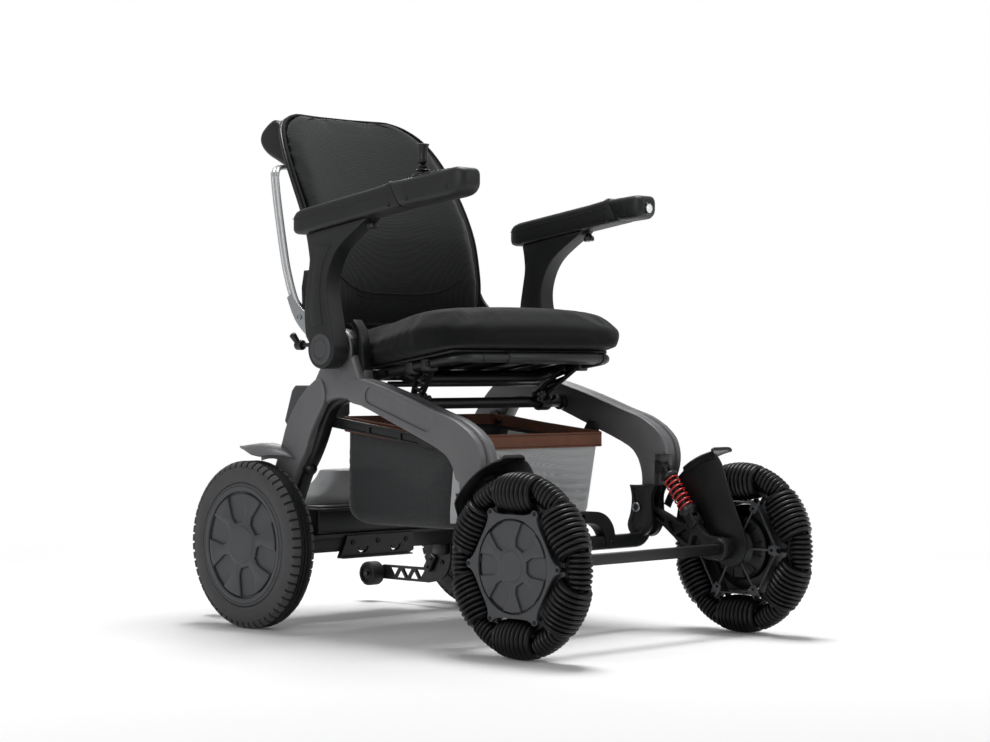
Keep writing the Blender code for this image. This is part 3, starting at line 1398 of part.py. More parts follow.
def make_tip_wheels():
    for side_name, side in SIDES:
        centre = Vector((side * TIP_WHEEL_X, station(TIP_WHEEL_STATION), TIP_WHEEL_HEIGHT))
        half = TIP_WHEEL_HALF
        wheel = turned(
            [
                (0.005 + 2 * PIVOT_CLEARANCE, half - 0.003),
                (TIP_WHEEL_RADIUS - 0.008, half - 0.003),
                (TIP_WHEEL_RADIUS - 0.006, half),
                (TIP_WHEEL_RADIUS, half - 0.003),
                (TIP_WHEEL_RADIUS, -half + 0.003),
                (TIP_WHEEL_RADIUS - 0.006, -half),
                (TIP_WHEEL_RADIUS - 0.008, -half + 0.003),
                (0.005 + 2 * PIVOT_CLEARANCE, -half + 0.003),
            ],
            12,
            closed=True,
        )
        across(wheel, centre, side)
        spin = pivot(f"anti_tip_wheel_{side_name}_pivot", centre)
        hang(finish(wheel, f"anti_tip_wheel_{side_name}", TYRE_RUBBER), spin)


def make_rear_equipment():
    """The battery tray, its cover and the small case behind the right leg."""
    tray = box(
        (-TRAY_HALF_WIDTH, station(TRAY_FRONT), TRAY_FLOOR + GAP), (TRAY_HALF_WIDTH, station(TRAY_REAR), TRAY_TOP)
    )
    finish(tray, "battery_tray", BLACK_PLASTIC)
    inset_and_rise = [(0.011, GAP), (0.022, 0.013), (0.052, 0.025), (0.078, 0.041), (0.090, 0.061)]
    half_outline = [(TRAY_HALF_WIDTH - inset, TRAY_TOP + rise) for inset, rise in inset_and_rise]
    outline = half_outline + [(-x, z) for x, z in half_outline[::-1]]
    cover = sheet_across(outline, station(TRAY_FRONT + 0.030), station(TRAY_REAR - 0.010))
    finish(cover, "rear_cover", LIGHT_GREY)

    outline = from_rear_axle(
        [(-0.082, 0.386), (-0.006, 0.378), (0.002, 0.387), (-0.020, 0.446), (-0.029, 0.455), (-0.096, 0.455), (-0.096, 0.400)]
    )
    case = plate(outline, -FRAME_INNER + GAP, -CASE_INNER, edge=CASE_EDGE)
    finish(case, "rear_case", BLACK_PLASTIC)


swing_pivot = make_front_axle()
for side_label, side_sign in SIDES:
    make_front_wheel(side_label, side_sign)
    make_rear_wheel(side_label, side_sign)
    make_side_frame(side_label, side_sign)
    make_front_fender(side_label, side_sign, swing_pivot)
    make_shock(side_label, side_sign)
    make_arm(side_label, side_sign)
make_front_cradle()
make_cross_tube()
make_seat_frame()
make_seat_pan()
make_seat_cushion()
make_backrest()
make_basket()
make_rear_beam()
make_tip_wheels()
make_rear_equipment()
parts_layer.exclude = False
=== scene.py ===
"""The looks of an all-terrain power wheelchair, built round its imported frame."""

import json
import math

import bmesh
import bpy
from mathutils import Matrix, Vector


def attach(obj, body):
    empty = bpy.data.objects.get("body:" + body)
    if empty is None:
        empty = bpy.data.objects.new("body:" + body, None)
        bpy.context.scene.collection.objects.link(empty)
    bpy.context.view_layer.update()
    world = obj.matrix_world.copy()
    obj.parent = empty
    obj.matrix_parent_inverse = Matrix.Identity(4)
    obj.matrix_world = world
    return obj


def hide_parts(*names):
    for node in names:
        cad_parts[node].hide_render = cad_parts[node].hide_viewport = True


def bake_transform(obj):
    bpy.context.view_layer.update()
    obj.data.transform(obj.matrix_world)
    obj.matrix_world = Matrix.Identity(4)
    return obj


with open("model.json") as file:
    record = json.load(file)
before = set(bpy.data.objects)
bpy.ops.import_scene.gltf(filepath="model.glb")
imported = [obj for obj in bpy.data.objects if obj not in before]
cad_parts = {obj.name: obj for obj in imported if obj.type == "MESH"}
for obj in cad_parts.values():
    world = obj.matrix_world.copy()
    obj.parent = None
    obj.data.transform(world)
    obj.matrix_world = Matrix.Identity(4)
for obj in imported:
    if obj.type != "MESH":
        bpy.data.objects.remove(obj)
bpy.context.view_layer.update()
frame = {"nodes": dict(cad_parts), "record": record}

# Sizes in metres. A station is a distance behind the front axle, and a side is -1 (right) or 1 (left).
FRONT_AXLE_Y = -0.393
WHEEL_RADIUS = 0.157
FRONT_TRACK = 0.2925
REAR_TRACK = 0.298
REAR_AXLE = 0.700
# How far the large rollers' axles lie from the middle of a front wheel.
ROLLER_ORBIT = 0.122
FRAME_INNER, FRAME_OUTER = 0.222, 0.262
SUSPENSION_X = 0.228
ARM_X = 0.2841
# Points in the side plane: station and height.
PIVOT = (0.502, 0.522)
SHOCK_TOP, SHOCK_FOOT = (0.135, 0.302), (0.060, 0.204)
SWING_PIN = (0.187, 0.227)
CROSS_TUBE = (0.390, 0.4225)
ANTI_TIP_AXLE = (0.918, 0.059)
SIDES = (("right", -1), ("left", 1))
X_AXIS, Y_AXIS, Z_AXIS = Vector((1, 0, 0)), Vector((0, 1, 0)), Vector((0, 0, 1))


def at(x, distance, height):
    """A point from its side place, its station and its height."""
    return Vector((x, FRONT_AXLE_Y + distance, height))


def mm(text):
    """Points in metres from a text in millimetres, with blanks between numbers and commas between points."""
    return [tuple(round(float(v) / 1000, 7) for v in point.split()) for point in text.split(",")]


def mirrored(points):
    """A line followed by itself backwards, with the second value of each point turned round."""
    return points + [(u, -v) for u, v in points[::-1]]


def unit(angle):
    """Cosine and sine of an angle in degrees."""
    turn = math.radians(angle)
    return math.cos(turn), math.sin(turn)


def clamp(value):
    """The value, held between 0 and 1."""
    return max(0.0, min(1.0, value))


def placed(name, data):
    """A new object in the scene."""
    obj = bpy.data.objects.new(name, data)
    bpy.context.scene.collection.objects.link(obj)
    return obj


# Materials


def linear(hex_colour):
    """An sRGB hex colour as linear RGBA."""
    shares = [int(hex_colour[i : i + 2], 16) / 255 for i in (0, 2, 4)]
    return (*[c / 12.92 if c <= 0.04045 else ((c + 0.055) / 1.055) ** 2.4 for c in shares], 1.0)


def add(tree, kind, settings=None, **inputs):
    """A node with its settings, its input values and its links."""
    node = tree.nodes.new(kind)
    for key, value in (settings or {}).items():
        setattr(node, key, value)
    for key, value in inputs.items():
        socket = node.inputs[int(key[1:]) if key[1:].isdigit() else key.replace("_", " ")]
        if isinstance(value, bpy.types.NodeSocket):
            tree.links.new(value, socket)
        else:
            socket.default_value = value
    return node


def begin(name):
    """An empty material, its node tree and its Object coordinates."""
    look = bpy.data.materials.new(name)
    look.use_nodes = True
    tree = look.node_tree
    tree.nodes.clear()
    return look, tree, add(tree, "ShaderNodeTexCoord").outputs["Object"]


def shaded(look, tint=None, rough=None, bump=None, invert=False, **values):
    """Gives a material its shader. Each pattern begins with the value that drives it.

    A tint goes on with two limits and two colours, a rough with two limits and two roughnesses, and a bump
    with its strength and its depth.
    """
    tree = look.node_tree
    if tint:
        factor, low, high, dark, light = tint
        share = add(tree, "ShaderNodeMapRange", i0=factor, i1=low, i2=high, i3=0.0, i4=1.0).outputs[0]
        mix = add(tree, "ShaderNodeMix", {"data_type": "RGBA"}, i0=share, i6=linear(dark), i7=linear(light))
        values["Base_Color"] = mix.outputs[2]
    if rough:
        inputs = {f"i{k}": value for k, value in enumerate(rough)}
        values["Roughness"] = add(tree, "ShaderNodeMapRange", **inputs).outputs[0]
    if bump:
        height, strength, depth = bump
        relief = add(
            tree, "ShaderNodeBump", {"invert": invert}, Strength=strength, Distance=depth, Height=height
        )
        values["Normal"] = relief.outputs[0]
    shader = add(tree, "ShaderNodeBsdfPrincipled", **values)
    add(tree, "ShaderNodeOutputMaterial", Surface=shader.outputs["BSDF"])
    return look


def powder_coat(name, base, light, roughness, metallic=0.0, coat=0.0):
    """Polyester powder on metal, sprayed and baked: satin, with a fine orange peel of 1.5 mm."""
    look, tree, place = begin(name)
    cloud = add(tree, "ShaderNodeTexNoise", Vector=place, Scale=9.0, Detail=3.0).outputs["Fac"]
    peel = add(tree, "ShaderNodeTexNoise", Vector=place, Scale=650.0, Detail=2.0).outputs["Fac"]
    tint = (cloud, 0.3, 0.7, base, light)
    rough = (cloud, 0.3, 0.7, roughness - 0.05, roughness + 0.05)
    return shaded(look, tint, rough, (peel, 0.25, 0.0002), Metallic=metallic, Coat_Weight=coat)


def moulded_plastic(name, base, light, roughness, grain=1100.0, strength=0.35):
    """Injection-moulded ABS from a spark-eroded mould: an even sheen with grains of about 1 mm."""
    look, tree, place = begin(name)
    cloud = add(tree, "ShaderNodeTexNoise", Vector=place, Scale=14.0, Detail=2.0).outputs["Fac"]
    grains = add(
        tree, "ShaderNodeTexNoise", Vector=place, Scale=grain, Detail=4.0, Roughness=0.7
    ).outputs["Fac"]
    rough = (grains, 0.3, 0.7, roughness - 0.07, roughness + 0.07)
    bump = (grains, strength, 0.0002)
    return shaded(look, (cloud, 0.35, 0.65, base, light), rough, bump, Specular_IOR_Level=0.38)


def moulded_rubber(name, base, light, roughness, sheen=0.0):
    """Vulcanised rubber: soft highlights, with a little pale dust and faint flow marks from the mould."""
    look, tree, place = begin(name)
    dust = add(
        tree, "ShaderNodeTexNoise", Vector=place, Scale=38.0, Detail=5.0, Roughness=0.65
    ).outputs["Fac"]
    fine = add(tree, "ShaderNodeTexNoise", Vector=place, Scale=900.0, Detail=3.0).outputs["Fac"]
    tint = (dust, 0.42, 0.72, base, light)
    rough = (dust, 0.35, 0.7, roughness - 0.06, roughness + 0.1)
    return shaded(look, tint, rough, (fine, 0.3, 0.0002), Sheen_Weight=sheen, Specular_IOR_Level=0.3)


def woven_cloth(name, dark, light, thread, depth, sheen):
    """Polyester cover cloth: threads cross at this spacing, drawn coarser than real so that they show."""
    look, tree, place = begin(name)
    scale = 2 * math.pi / thread / 20
    turned_place = add(
        tree, "ShaderNodeMapping", Vector=place, Rotation=(0.0, math.radians(90), 0.0)
    ).outputs[0]
    waves = []
    for spot, way in ((place, "X"), (turned_place, "X"), (place, "Y")):
        bands = {"wave_type": "BANDS", "bands_direction": way}
        waves.append(
            add(tree, "ShaderNodeTexWave", bands, Vector=spot, Scale=scale, Distortion=0.6).outputs["Fac"]
        )
    rows = add(tree, "ShaderNodeMath", {"operation": "MULTIPLY"}, i0=waves[1], i1=waves[2]).outputs[0]
    weave = add(
        tree, "ShaderNodeMath", {"operation": "MULTIPLY_ADD"}, i0=waves[0], i1=0.6, i2=rows
    ).outputs[0]
    values = {"Roughness": 0.88, "Specular_IOR_Level": 0.2, "Sheen_Weight": sheen, "Sheen_Roughness": 0.4}
    return shaded(look, (weave, 0.1, 1.1, dark, light), None, (weave, 0.5, depth), **values)


def polished_metal(name, base, roughness):
    """Machined and lightly brushed metal: long faint lines that spread the highlights."""
    look, tree, place = begin(name)
    stretched = add(tree, "ShaderNodeMapping", Vector=place, Scale=(1.0, 0.06, 1.0)).outputs[0]
    lines = add(tree, "ShaderNodeTexNoise", Vector=stretched, Scale=1200.0, Detail=3.0).outputs["Fac"]
    rough = (lines, 0.3, 0.7, roughness - 0.06, roughness + 0.08)
    return shaded(look, None, rough, (lines, 0.15, 0.0001), Base_Color=linear(base), Metallic=1.0)


def pebbled_leather(name, dark, light):
    """Embossed leathercloth: pebbles of about 1.2 mm with darker creases, matt."""
    look, tree, place = begin(name)
    pebbles = add(
        tree, "ShaderNodeTexVoronoi", {"feature": "F1"}, Vector=place, Scale=650.0
    ).outputs["Distance"]
    cloud = add(tree, "ShaderNodeTexNoise", Vector=place, Scale=22.0, Detail=3.0).outputs["Fac"]
    values = {"Roughness": 0.62, "Sheen_Weight": 0.1}
    return shaded(look, (cloud, 0.3, 0.7, dark, light), None, (pebbles, 0.4, 0.0003), invert=True, **values)


def open_net(name, dark, light, cover, pitch):
    """Knitted polyester net: fine threads with open holes, so what is behind shows through."""
    look, tree, place = begin(name)
    scale = 2 * math.pi / pitch / 20
    slant = add(
        tree, "ShaderNodeMapping", Vector=place, Rotation=(math.radians(45), math.radians(45), 0.0)
    ).outputs[0]
    waves = []
    for way in "YZ":
        bands = {"wave_type": "BANDS", "bands_direction": way}
        waves.append(add(tree, "ShaderNodeTexWave", bands, Vector=slant, Scale=scale).outputs["Fac"])
    thread = add(tree, "ShaderNodeMath", {"operation": "MAXIMUM"}, i0=waves[0], i1=waves[1]).outputs[0]
    solid = add(tree, "ShaderNodeMapRange", i0=thread, i1=0.35, i2=0.75, i3=cover, i4=1.0).outputs[0]
    values = {"Alpha": solid, "Roughness": 0.75, "Sheen_Weight": 0.2}
    return shaded(look, (thread, 0.3, 1.0, dark, light), None, (thread, 0.4, 0.0003), **values)


def frosted_lens(name, base):
    """Frosted polycarbonate over a white diffuser whose pale rings show through, with a painted glow."""
    look, tree, place = begin(name)
    rings = add(tree, "ShaderNodeTexNoise", Vector=place, Scale=420.0, Detail=2.0).outputs["Fac"]
    # The emission is a painted glow that keeps the lens bright.
    values = {"Roughness": 0.2, "Coat_Weight": 0.8, "Emission_Color": linear(base), "Emission_Strength": 0.35}
    return shaded(look, (rings, 0.3, 0.7, "dfe3e6", base), **values)


GREY_COAT = powder_coat("powder_coated_aluminium_grey", "616163", "6a6a6c", 0.42, 0.25)
BLACK_COAT = powder_coat("powder_coated_steel_black", "121315", "191a1c", 0.40, 0.1)
HUB_GREY = powder_coat("painted_cast_aluminium_graphite", "3e3f42", "47484b", 0.50, 0.1)
HOOP_GREY = powder_coat("satin_anodised_aluminium", "bfc1c3", "cdcfd0", 0.38, 0.35)
SPRING_ENAMEL = powder_coat("glossy_red_enamel_on_spring_steel", "b81712", "d0241c", 0.28, 0.0, 0.6)
ABS_BLACK = moulded_plastic("spark_textured_black_abs", "141516", "1a1b1c", 0.48)
ABS_DARK = moulded_plastic("smooth_black_abs", "0e0f10", "141516", 0.36, 700.0, 0.2)
GLOSS_BLACK = moulded_plastic("gloss_black_polycarbonate", "08090a", "0c0d0e", 0.16, 900.0, 0.05)
ABS_LIGHT = moulded_plastic("light_grey_abs_cover", "b4b6b8", "c3c5c6", 0.5)
ROLLER_BLACK = moulded_rubber("roller_rubber_black", "09090a", "0f1010", 0.34)
TYRE_BLACK = moulded_rubber("tyre_rubber_charcoal", "404041", "4a4a4b", 0.66, 0.15)
TREAD_BLACK = moulded_rubber("tyre_tread_rubber", "121314", "191a1b", 0.60)
SEAT_CLOTH = woven_cloth("woven_polyester_seat_cover", "0c0d0e", "131415", 0.0016, 0.0003, 0.12)
BACK_CLOTH = woven_cloth("knitted_spacer_back_cover", "131415", "1f2021", 0.0026, 0.0005, 0.2)
PIPING = woven_cloth("braided_piping_cord", "0a0b0c", "121314", 0.0012, 0.0003, 0.08)
BAND_LEATHER = pebbled_leather("brown_leathercloth_band", "683c25", "7a4830")
NET_DARK = open_net("knitted_net_dark", "151617", "26282a", 0.74, 0.0020)
NET_LIGHT = open_net("knitted_net_silver", "acaeb0", "cfd1d2", 0.88, 0.0012)
STEEL = polished_metal("brushed_stainless_steel", "a9acaf", 0.28)
BOLT_BLACK = polished_metal("black_oxide_bolt_steel", "1d1e20", 0.36)
LENS_WHITE = frosted_lens("frosted_lamp_lens", "f4f6f8")

# The looks that belong to each slot. The first one dresses the frame's own solids.
SLOT_LOOKS = {
    "grey_paint": [GREY_COAT],
    "black_metal": [BLACK_COAT, BOLT_BLACK],
    "black_plastic": [ABS_BLACK, ABS_DARK, GLOSS_BLACK],
    "wheel_grey": [HUB_GREY],
    "roller_rubber": [ROLLER_BLACK],
    "tyre_rubber": [TYRE_BLACK, TREAD_BLACK],
    "spring_red": [SPRING_ENAMEL],
    "seat_fabric": [SEAT_CLOTH, BACK_CLOTH, PIPING],
    "light_grey": [HOOP_GREY, ABS_LIGHT],
    "brown_band": [BAND_LEATHER],
    "net_grey": [NET_DARK, NET_LIGHT],
    "bright_metal": [STEEL],
    "lamp_white": [LENS_WHITE],
}
OWN_SLOT = {look.name: slot for slot, looks in SLOT_LOOKS.items() for look in looks}
for entry in frame["record"]["subparts"]:
    for place in frame["nodes"][entry["node"]].material_slots:
        place.material = SLOT_LOOKS[entry["material_slot"]][0]


# Shapes


def turned(shape, profile, centre, axis, steps):
    """Adds a turned form. Its profile is (radius, height along the axis)."""
    axis = Vector(axis).normalized()
    side = axis.orthogonal().normalized()
    line = [shape.verts.new(centre + axis * h + side * r) for r, h in profile]
    edges = [shape.edges.new(pair) for pair in zip(line, line[1:])]
    bmesh.ops.spin(
        shape, geom=line + edges, cent=centre, axis=axis, angle=2 * math.pi, steps=steps, use_merge=True
    )


def smooth_line(points, per=4):
    """Points on a smooth line through the given ones, so many for each stretch."""
    points = [Vector(p) for p in points]
    last = len(points) - 1
    made = []
    for i in range(last):
        a, b, c, d = (points[min(max(i + k, 0), last)] for k in (-1, 0, 1, 2))
        for step in range(per):
            t = step / per
            straight = 2 * b + (c - a) * t
            made.append(
                0.5 * (straight + (2 * a - 5 * b + 4 * c - d) * t**2 + (3 * b - a - 3 * c + d) * t**3)
            )
    return made + [points[-1]]


def arc(centre, radius, start, end, steps):
    """Points on an arc in the side plane, its angles in degrees from straight behind."""
    angles = [math.radians(start + (end - start) * i / steps) for i in range(steps + 1)]
    return [(centre[0] + radius * math.cos(a), centre[1] + radius * math.sin(a)) for a in angles]


def ease(shape, edges, offset, segments):
    """Rounds edges off."""
    settings = {"profile": 0.5, "affect": "EDGES", "clamp_overlap": True, "material": -1}
    bmesh.ops.bevel(shape, geom=edges, offset=offset, segments=segments, **settings)


def slab(shape, loops, low, high, edge=0.0, segments=3, place=None):
    """Adds a plate between two side planes. The first loop is its outline, the others are its holes."""
    place = place or (lambda u, v, depth: at(depth, u, v))
    rims = []
    for loop in loops:
        corners = [shape.verts.new(place(p[0], p[1], low)) for p in loop]
        rims += [shape.edges.new((corners[i - 1], corners[i])) for i in range(len(corners))]
    if len(loops) == 1:
        faces = [shape.faces.new(corners)]
    else:
        filled = bmesh.ops.triangle_fill(shape, use_beauty=True, edges=rims)["geom"]
        faces = [g for g in filled if isinstance(g, bmesh.types.BMFace)]
    raised = bmesh.ops.extrude_face_region(shape, geom=faces)["geom"]
    top = [g for g in raised if isinstance(g, bmesh.types.BMVert)]
    lids = {g for g in raised if isinstance(g, bmesh.types.BMFace)}
    bmesh.ops.translate(shape, verts=top, vec=place(0, 0, high) - place(0, 0, low))
    bmesh.ops.recalc_face_normals(shape, faces=shape.faces)
    if edge > 0:
        top = set(top)
        sharp = [e for e in rims if e.is_valid]
        for lid in [g for g in raised if g in lids]:
            for border in lid.edges:
                walls = [face for face in border.link_faces if face not in lids]
                if len(border.link_faces) == 2 and walls and top.issuperset(border.verts):
                    sharp.append(border)
        ease(shape, sharp, edge, segments)


def panel(shape, side, loops, low, high, edge=0.0, segments=3):
    """Adds a slab on one side of the chair, between two distances from its middle."""
    slab(shape, loops, side * low, side * high, edge, segments)


def pipe(shape, path, radius, sides=12, closed=False):
    """Adds a round bar along a path by extruding a ring from point to point."""
    path = [Vector(p) for p in path]
    count = len(path)
    radii = radius if isinstance(radius, list) else [radius] * count
    for i, point in enumerate(path):
        before = path[i - 1] if i > 0 or closed else point
        after = path[(i + 1) % count] if i < count - 1 or closed else point
        ahead = (after - before).normalized()
        if i == 0:
            side = ahead.orthogonal().normalized()
            ring = bmesh.ops.create_circle(
                shape, cap_ends=not closed, radius=radii[0], segments=sides
            )["verts"]
            first = edges = list(dict.fromkeys(e for v in ring for e in v.link_edges))
            angles = [math.atan2(v.co.y, v.co.x) for v in ring]
        else:
            grown = bmesh.ops.extrude_edge_only(shape, edges=edges)["geom"]
            ring = [g for g in grown if isinstance(g, bmesh.types.BMVert)]
            fresh = set(ring)
            edges = [g for g in grown if isinstance(g, bmesh.types.BMEdge) and fresh.issuperset(g.verts)]
            local = [v.co - path[i - 1] for v in ring]
            angles = [math.atan2(spot.dot(other), spot.dot(side)) for spot in local]
        side = (side - ahead * side.dot(ahead)).normalized()
        other = ahead.cross(side)
        for vert, angle in zip(ring, angles):
            vert.co = point + (side * math.cos(angle) + other * math.sin(angle)) * radii[i]
    if closed:
        bmesh.ops.bridge_loops(shape, edges=edges + first)
    else:
        bmesh.ops.edgenet_fill(shape, edges=edges)


def block(shape, centre, size, edge, segments=2, turn=None):
    """Adds a box with eased edges."""
    made = bmesh.ops.create_cube(shape, size=1, matrix=Matrix.LocRotScale(Vector(centre), turn, Vector(size)))
    if edge > 0:
        ease(shape, list(dict.fromkeys(e for v in made["verts"] for e in v.link_edges)), edge, segments)


def bolt(shape, centre, axis, radius, height=0.0025, steps=16):
    """Adds a socket-head bolt that stands on a face."""
    sunk = height - 0.6 * height
    profile = [(0, sunk), (radius * 0.42, sunk), (radius * 0.46, height), (radius * 0.86, height)]
    turned(shape, [*profile, (radius, height * 0.7), (radius, -0.0005), (0, -0.0005)], centre, axis, steps)


def loft(shape, rows, closed=False, caps=False):
    """Adds a skin through rows of points by extruding each row to the next, and gives its last row."""
    line = [shape.verts.new(p) for p in rows[0]]
    count = len(line)
    pairs = [(i, (i + 1) % count) for i in range(count if closed else count - 1)]
    edges = [shape.edges.new((line[a], line[b])) for a, b in pairs]
    if caps:
        shape.faces.new(line)
    for row in rows[1:]:
        fresh = set(bmesh.ops.extrude_edge_only(shape, edges=edges)["geom"])
        following = []
        for vert, place in zip(line, row):
            ahead = next(e.other_vert(vert) for e in vert.link_edges if e.other_vert(vert) in fresh)
            ahead.co = place
            following.append(ahead)
        line = following
        edges = [shape.edges.get((line[a], line[b])) for a, b in pairs]
    if caps:
        shape.faces.new(line)
    return line


def thicken(shape, thickness):
    """Gives a skin its thickness."""
    bmesh.ops.recalc_face_normals(shape, faces=shape.faces)
    bmesh.ops.solidify(shape, geom=shape.faces[:], thickness=thickness)


def rounded_section(half_wide, half_high, corner, steps=3):
    """Corners of a rounded rectangle, as pairs of distances from its middle."""
    points = []
    for u, v, start in ((1, 1, 0), (-1, 1, 90), (-1, -1, 180), (1, -1, 270)):
        middle = (u * (half_wide - corner), v * (half_high - corner))
        points += arc(middle, corner, start, start + 90, steps)
    return points


def rounded_path(corners, radius, steps=6):
    """A path through corners, each turned into a bend."""
    path = [corners[0]]
    for before, corner, after in zip(corners, corners[1:], corners[2:]):
        back = (before - corner).normalized()
        ahead = (after - corner).normalized()
        for i in range(steps + 1):
            t = i / steps
            path.append(corner + back * radius * (1 - t) ** 2 + ahead * radius * t**2)
    return path + [corners[-1]]


def piece(name, shape, look, body, node=None, sharp=32, slot=None, merge=True):
    """Makes a finished piece that rides on a body of the frame and may replace one of its nodes."""
    if merge:
        bmesh.ops.remove_doubles(shape, verts=shape.verts, dist=0.00001)
    bmesh.ops.recalc_face_normals(shape, faces=shape.faces)
    mesh = bpy.data.meshes.new(name)
    shape.to_mesh(mesh)
    shape.free()
    looks = look if isinstance(look, list) else [look]
    for one in looks:
        mesh.materials.append(one)
    mesh.shade_smooth()
    mesh.set_sharp_from_angle(angle=math.radians(sharp))
    obj = placed(name, mesh)
    if body:
        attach(obj, body)
    slot or OWN_SLOT[looks[0].name]
    if node:
        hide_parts(node)
    return obj


# The wheels


def rib_line(half, orbit, ribs, depth, samples=8):
    """Crests and grooves of a roller whose side lies on the wheel's own circle."""
    line = []
    for i in range(ribs * samples + 1):
        along = half - 2 * half * i / (ribs * samples)
        full = math.sqrt(WHEEL_RADIUS**2 - along**2) - orbit
        wave = abs(math.sin(math.pi * i / samples)) ** 0.8
        line.append((full - depth * (1 - wave), along))
    return line


def spoke(angle):
    """Unit vectors outward and round a wheel at an angle from straight ahead."""
    cos, sin = unit(angle)
    return Vector((0, -cos, sin)), Vector((0, sin, cos))


def make_rollers(tag, side):
    """Six large rollers that turn, and six small ones between them in one piece."""
    middle = at(side * FRONT_TRACK, 0, WHEEL_RADIUS)
    half, mouth, seat = 0.0433, 0.0252, 0.022
    line = rib_line(half - 0.0015, ROLLER_ORBIT, 9, 0.0056)
    end = [(0.0045, seat), (mouth, seat), (mouth, half - 0.002), (mouth + 0.0012, half)]
    end.append((line[0][0] - 0.001, half))
    profile = [*end, *line, *[(r, -along) for r, along in end[::-1]], end[0]]
    for index in range(6):
        outward, around = spoke(30 + 60 * index)
        shape = bmesh.new()
        turned(shape, profile, middle + outward * ROLLER_ORBIT, around, 40)
        name = f"front_roller_{tag}_{index + 1}"
        piece(f"ribbed_{name}", shape, ROLLER_BLACK, name, name, 60)

    shape = bmesh.new()
    half = 0.0325
    line = rib_line(half - 0.001, 0.1357, 7, 0.0044)
    profile = [(0.0, half), (line[0][0] - 0.002, half), *line, (line[-1][0] - 0.002, -half), (0.0, -half)]
    for index in range(6):
        outward, around = spoke(60 * index)
        turned(shape, profile, middle + outward * 0.1355, around, 32)
    piece(f"small_rollers_{tag}", shape, ROLLER_BLACK, f"front_wheel_{tag}", sharp=60)


def face_of(side, track, distance):
    """Places plates on a wheel's face: the first two values lie in it, the third stands out of it."""
    return lambda u, v, height: at(side * (track + height), distance + u, WHEEL_RADIUS + v)


def round_loop(points):
    """Points of a wheel's face from their radii and their angles from straight ahead."""
    return [(-r * math.cos(math.radians(a)), r * math.sin(math.radians(a))) for r, a in points]


def hex_outline():
    """The hub plate: a lug with a bolt on each corner, and sides that follow the rollers."""
    flank = [(0.0875, 21), (0.0900, 14), (0.0945, 8), (0.1000, 4.6), (0.1048, 4.0), (0.1080, 2.2)]
    line = []
    for middle in range(0, 360, 60):
        line += [(0.0868, middle - 30)] + [(r, middle - a) for r, a in flank]
        line += [(0.1088, middle)] + [(r, middle + a) for r, a in flank[::-1]]
    return round_loop(line)


def star_loop(radius, inner, half_inner, half_outer, first):
    """The outline of a disc with six pockets that open at its rim."""
    mouth = math.degrees(math.asin(half_outer / radius))
    flank = [
        (radius * 0.90, half_outer), (inner + (radius - inner) * 0.22, half_inner * 1.75), (inner, half_inner)
    ]
    line = []
    for middle in range(first, first + 360, 60):
        cos, sin = unit(middle)
        line += round_loop([(radius, middle - 60 + mouth + (60 - 2 * mouth) * i / 8) for i in range(9)])
        line += [(-u * cos - t * sin, u * sin - t * cos) for u, t in mirrored(flank)]
    return line


def make_hub_cap(shape, side, track, distance, radius, base, rise, first, centre_disc):
    """A disc with six pockets open at its rim, on a sunken floor, and a low cone in its middle."""
    middle = at(side * track, distance, WHEEL_RADIUS)
    out = X_AXIS * side
    loop = star_loop(radius, radius * 0.44, radius * 0.115, radius * 0.235, first)
    slab(shape, [loop], base - 0.0005, base + rise, 0.0038, 2, face_of(side, track, distance))
    floor = [(0, base + 0.0004), (radius - 0.002, base + 0.0004), (radius - 0.001, base - 0.0006)]
    turned(shape, [*floor, (radius - 0.001, base - 0.004)], middle, out, 72)
    low = base + rise
    disc = [(0, low + 0.0026), (centre_disc - 0.0012, low + 0.0026), (centre_disc - 0.0003, low + 0.0020)]
    disc += [(centre_disc + 0.0002, low + 0.0014), (centre_disc + 0.0060, low - 0.0008)]
    turned(shape, disc, middle, out, 48)


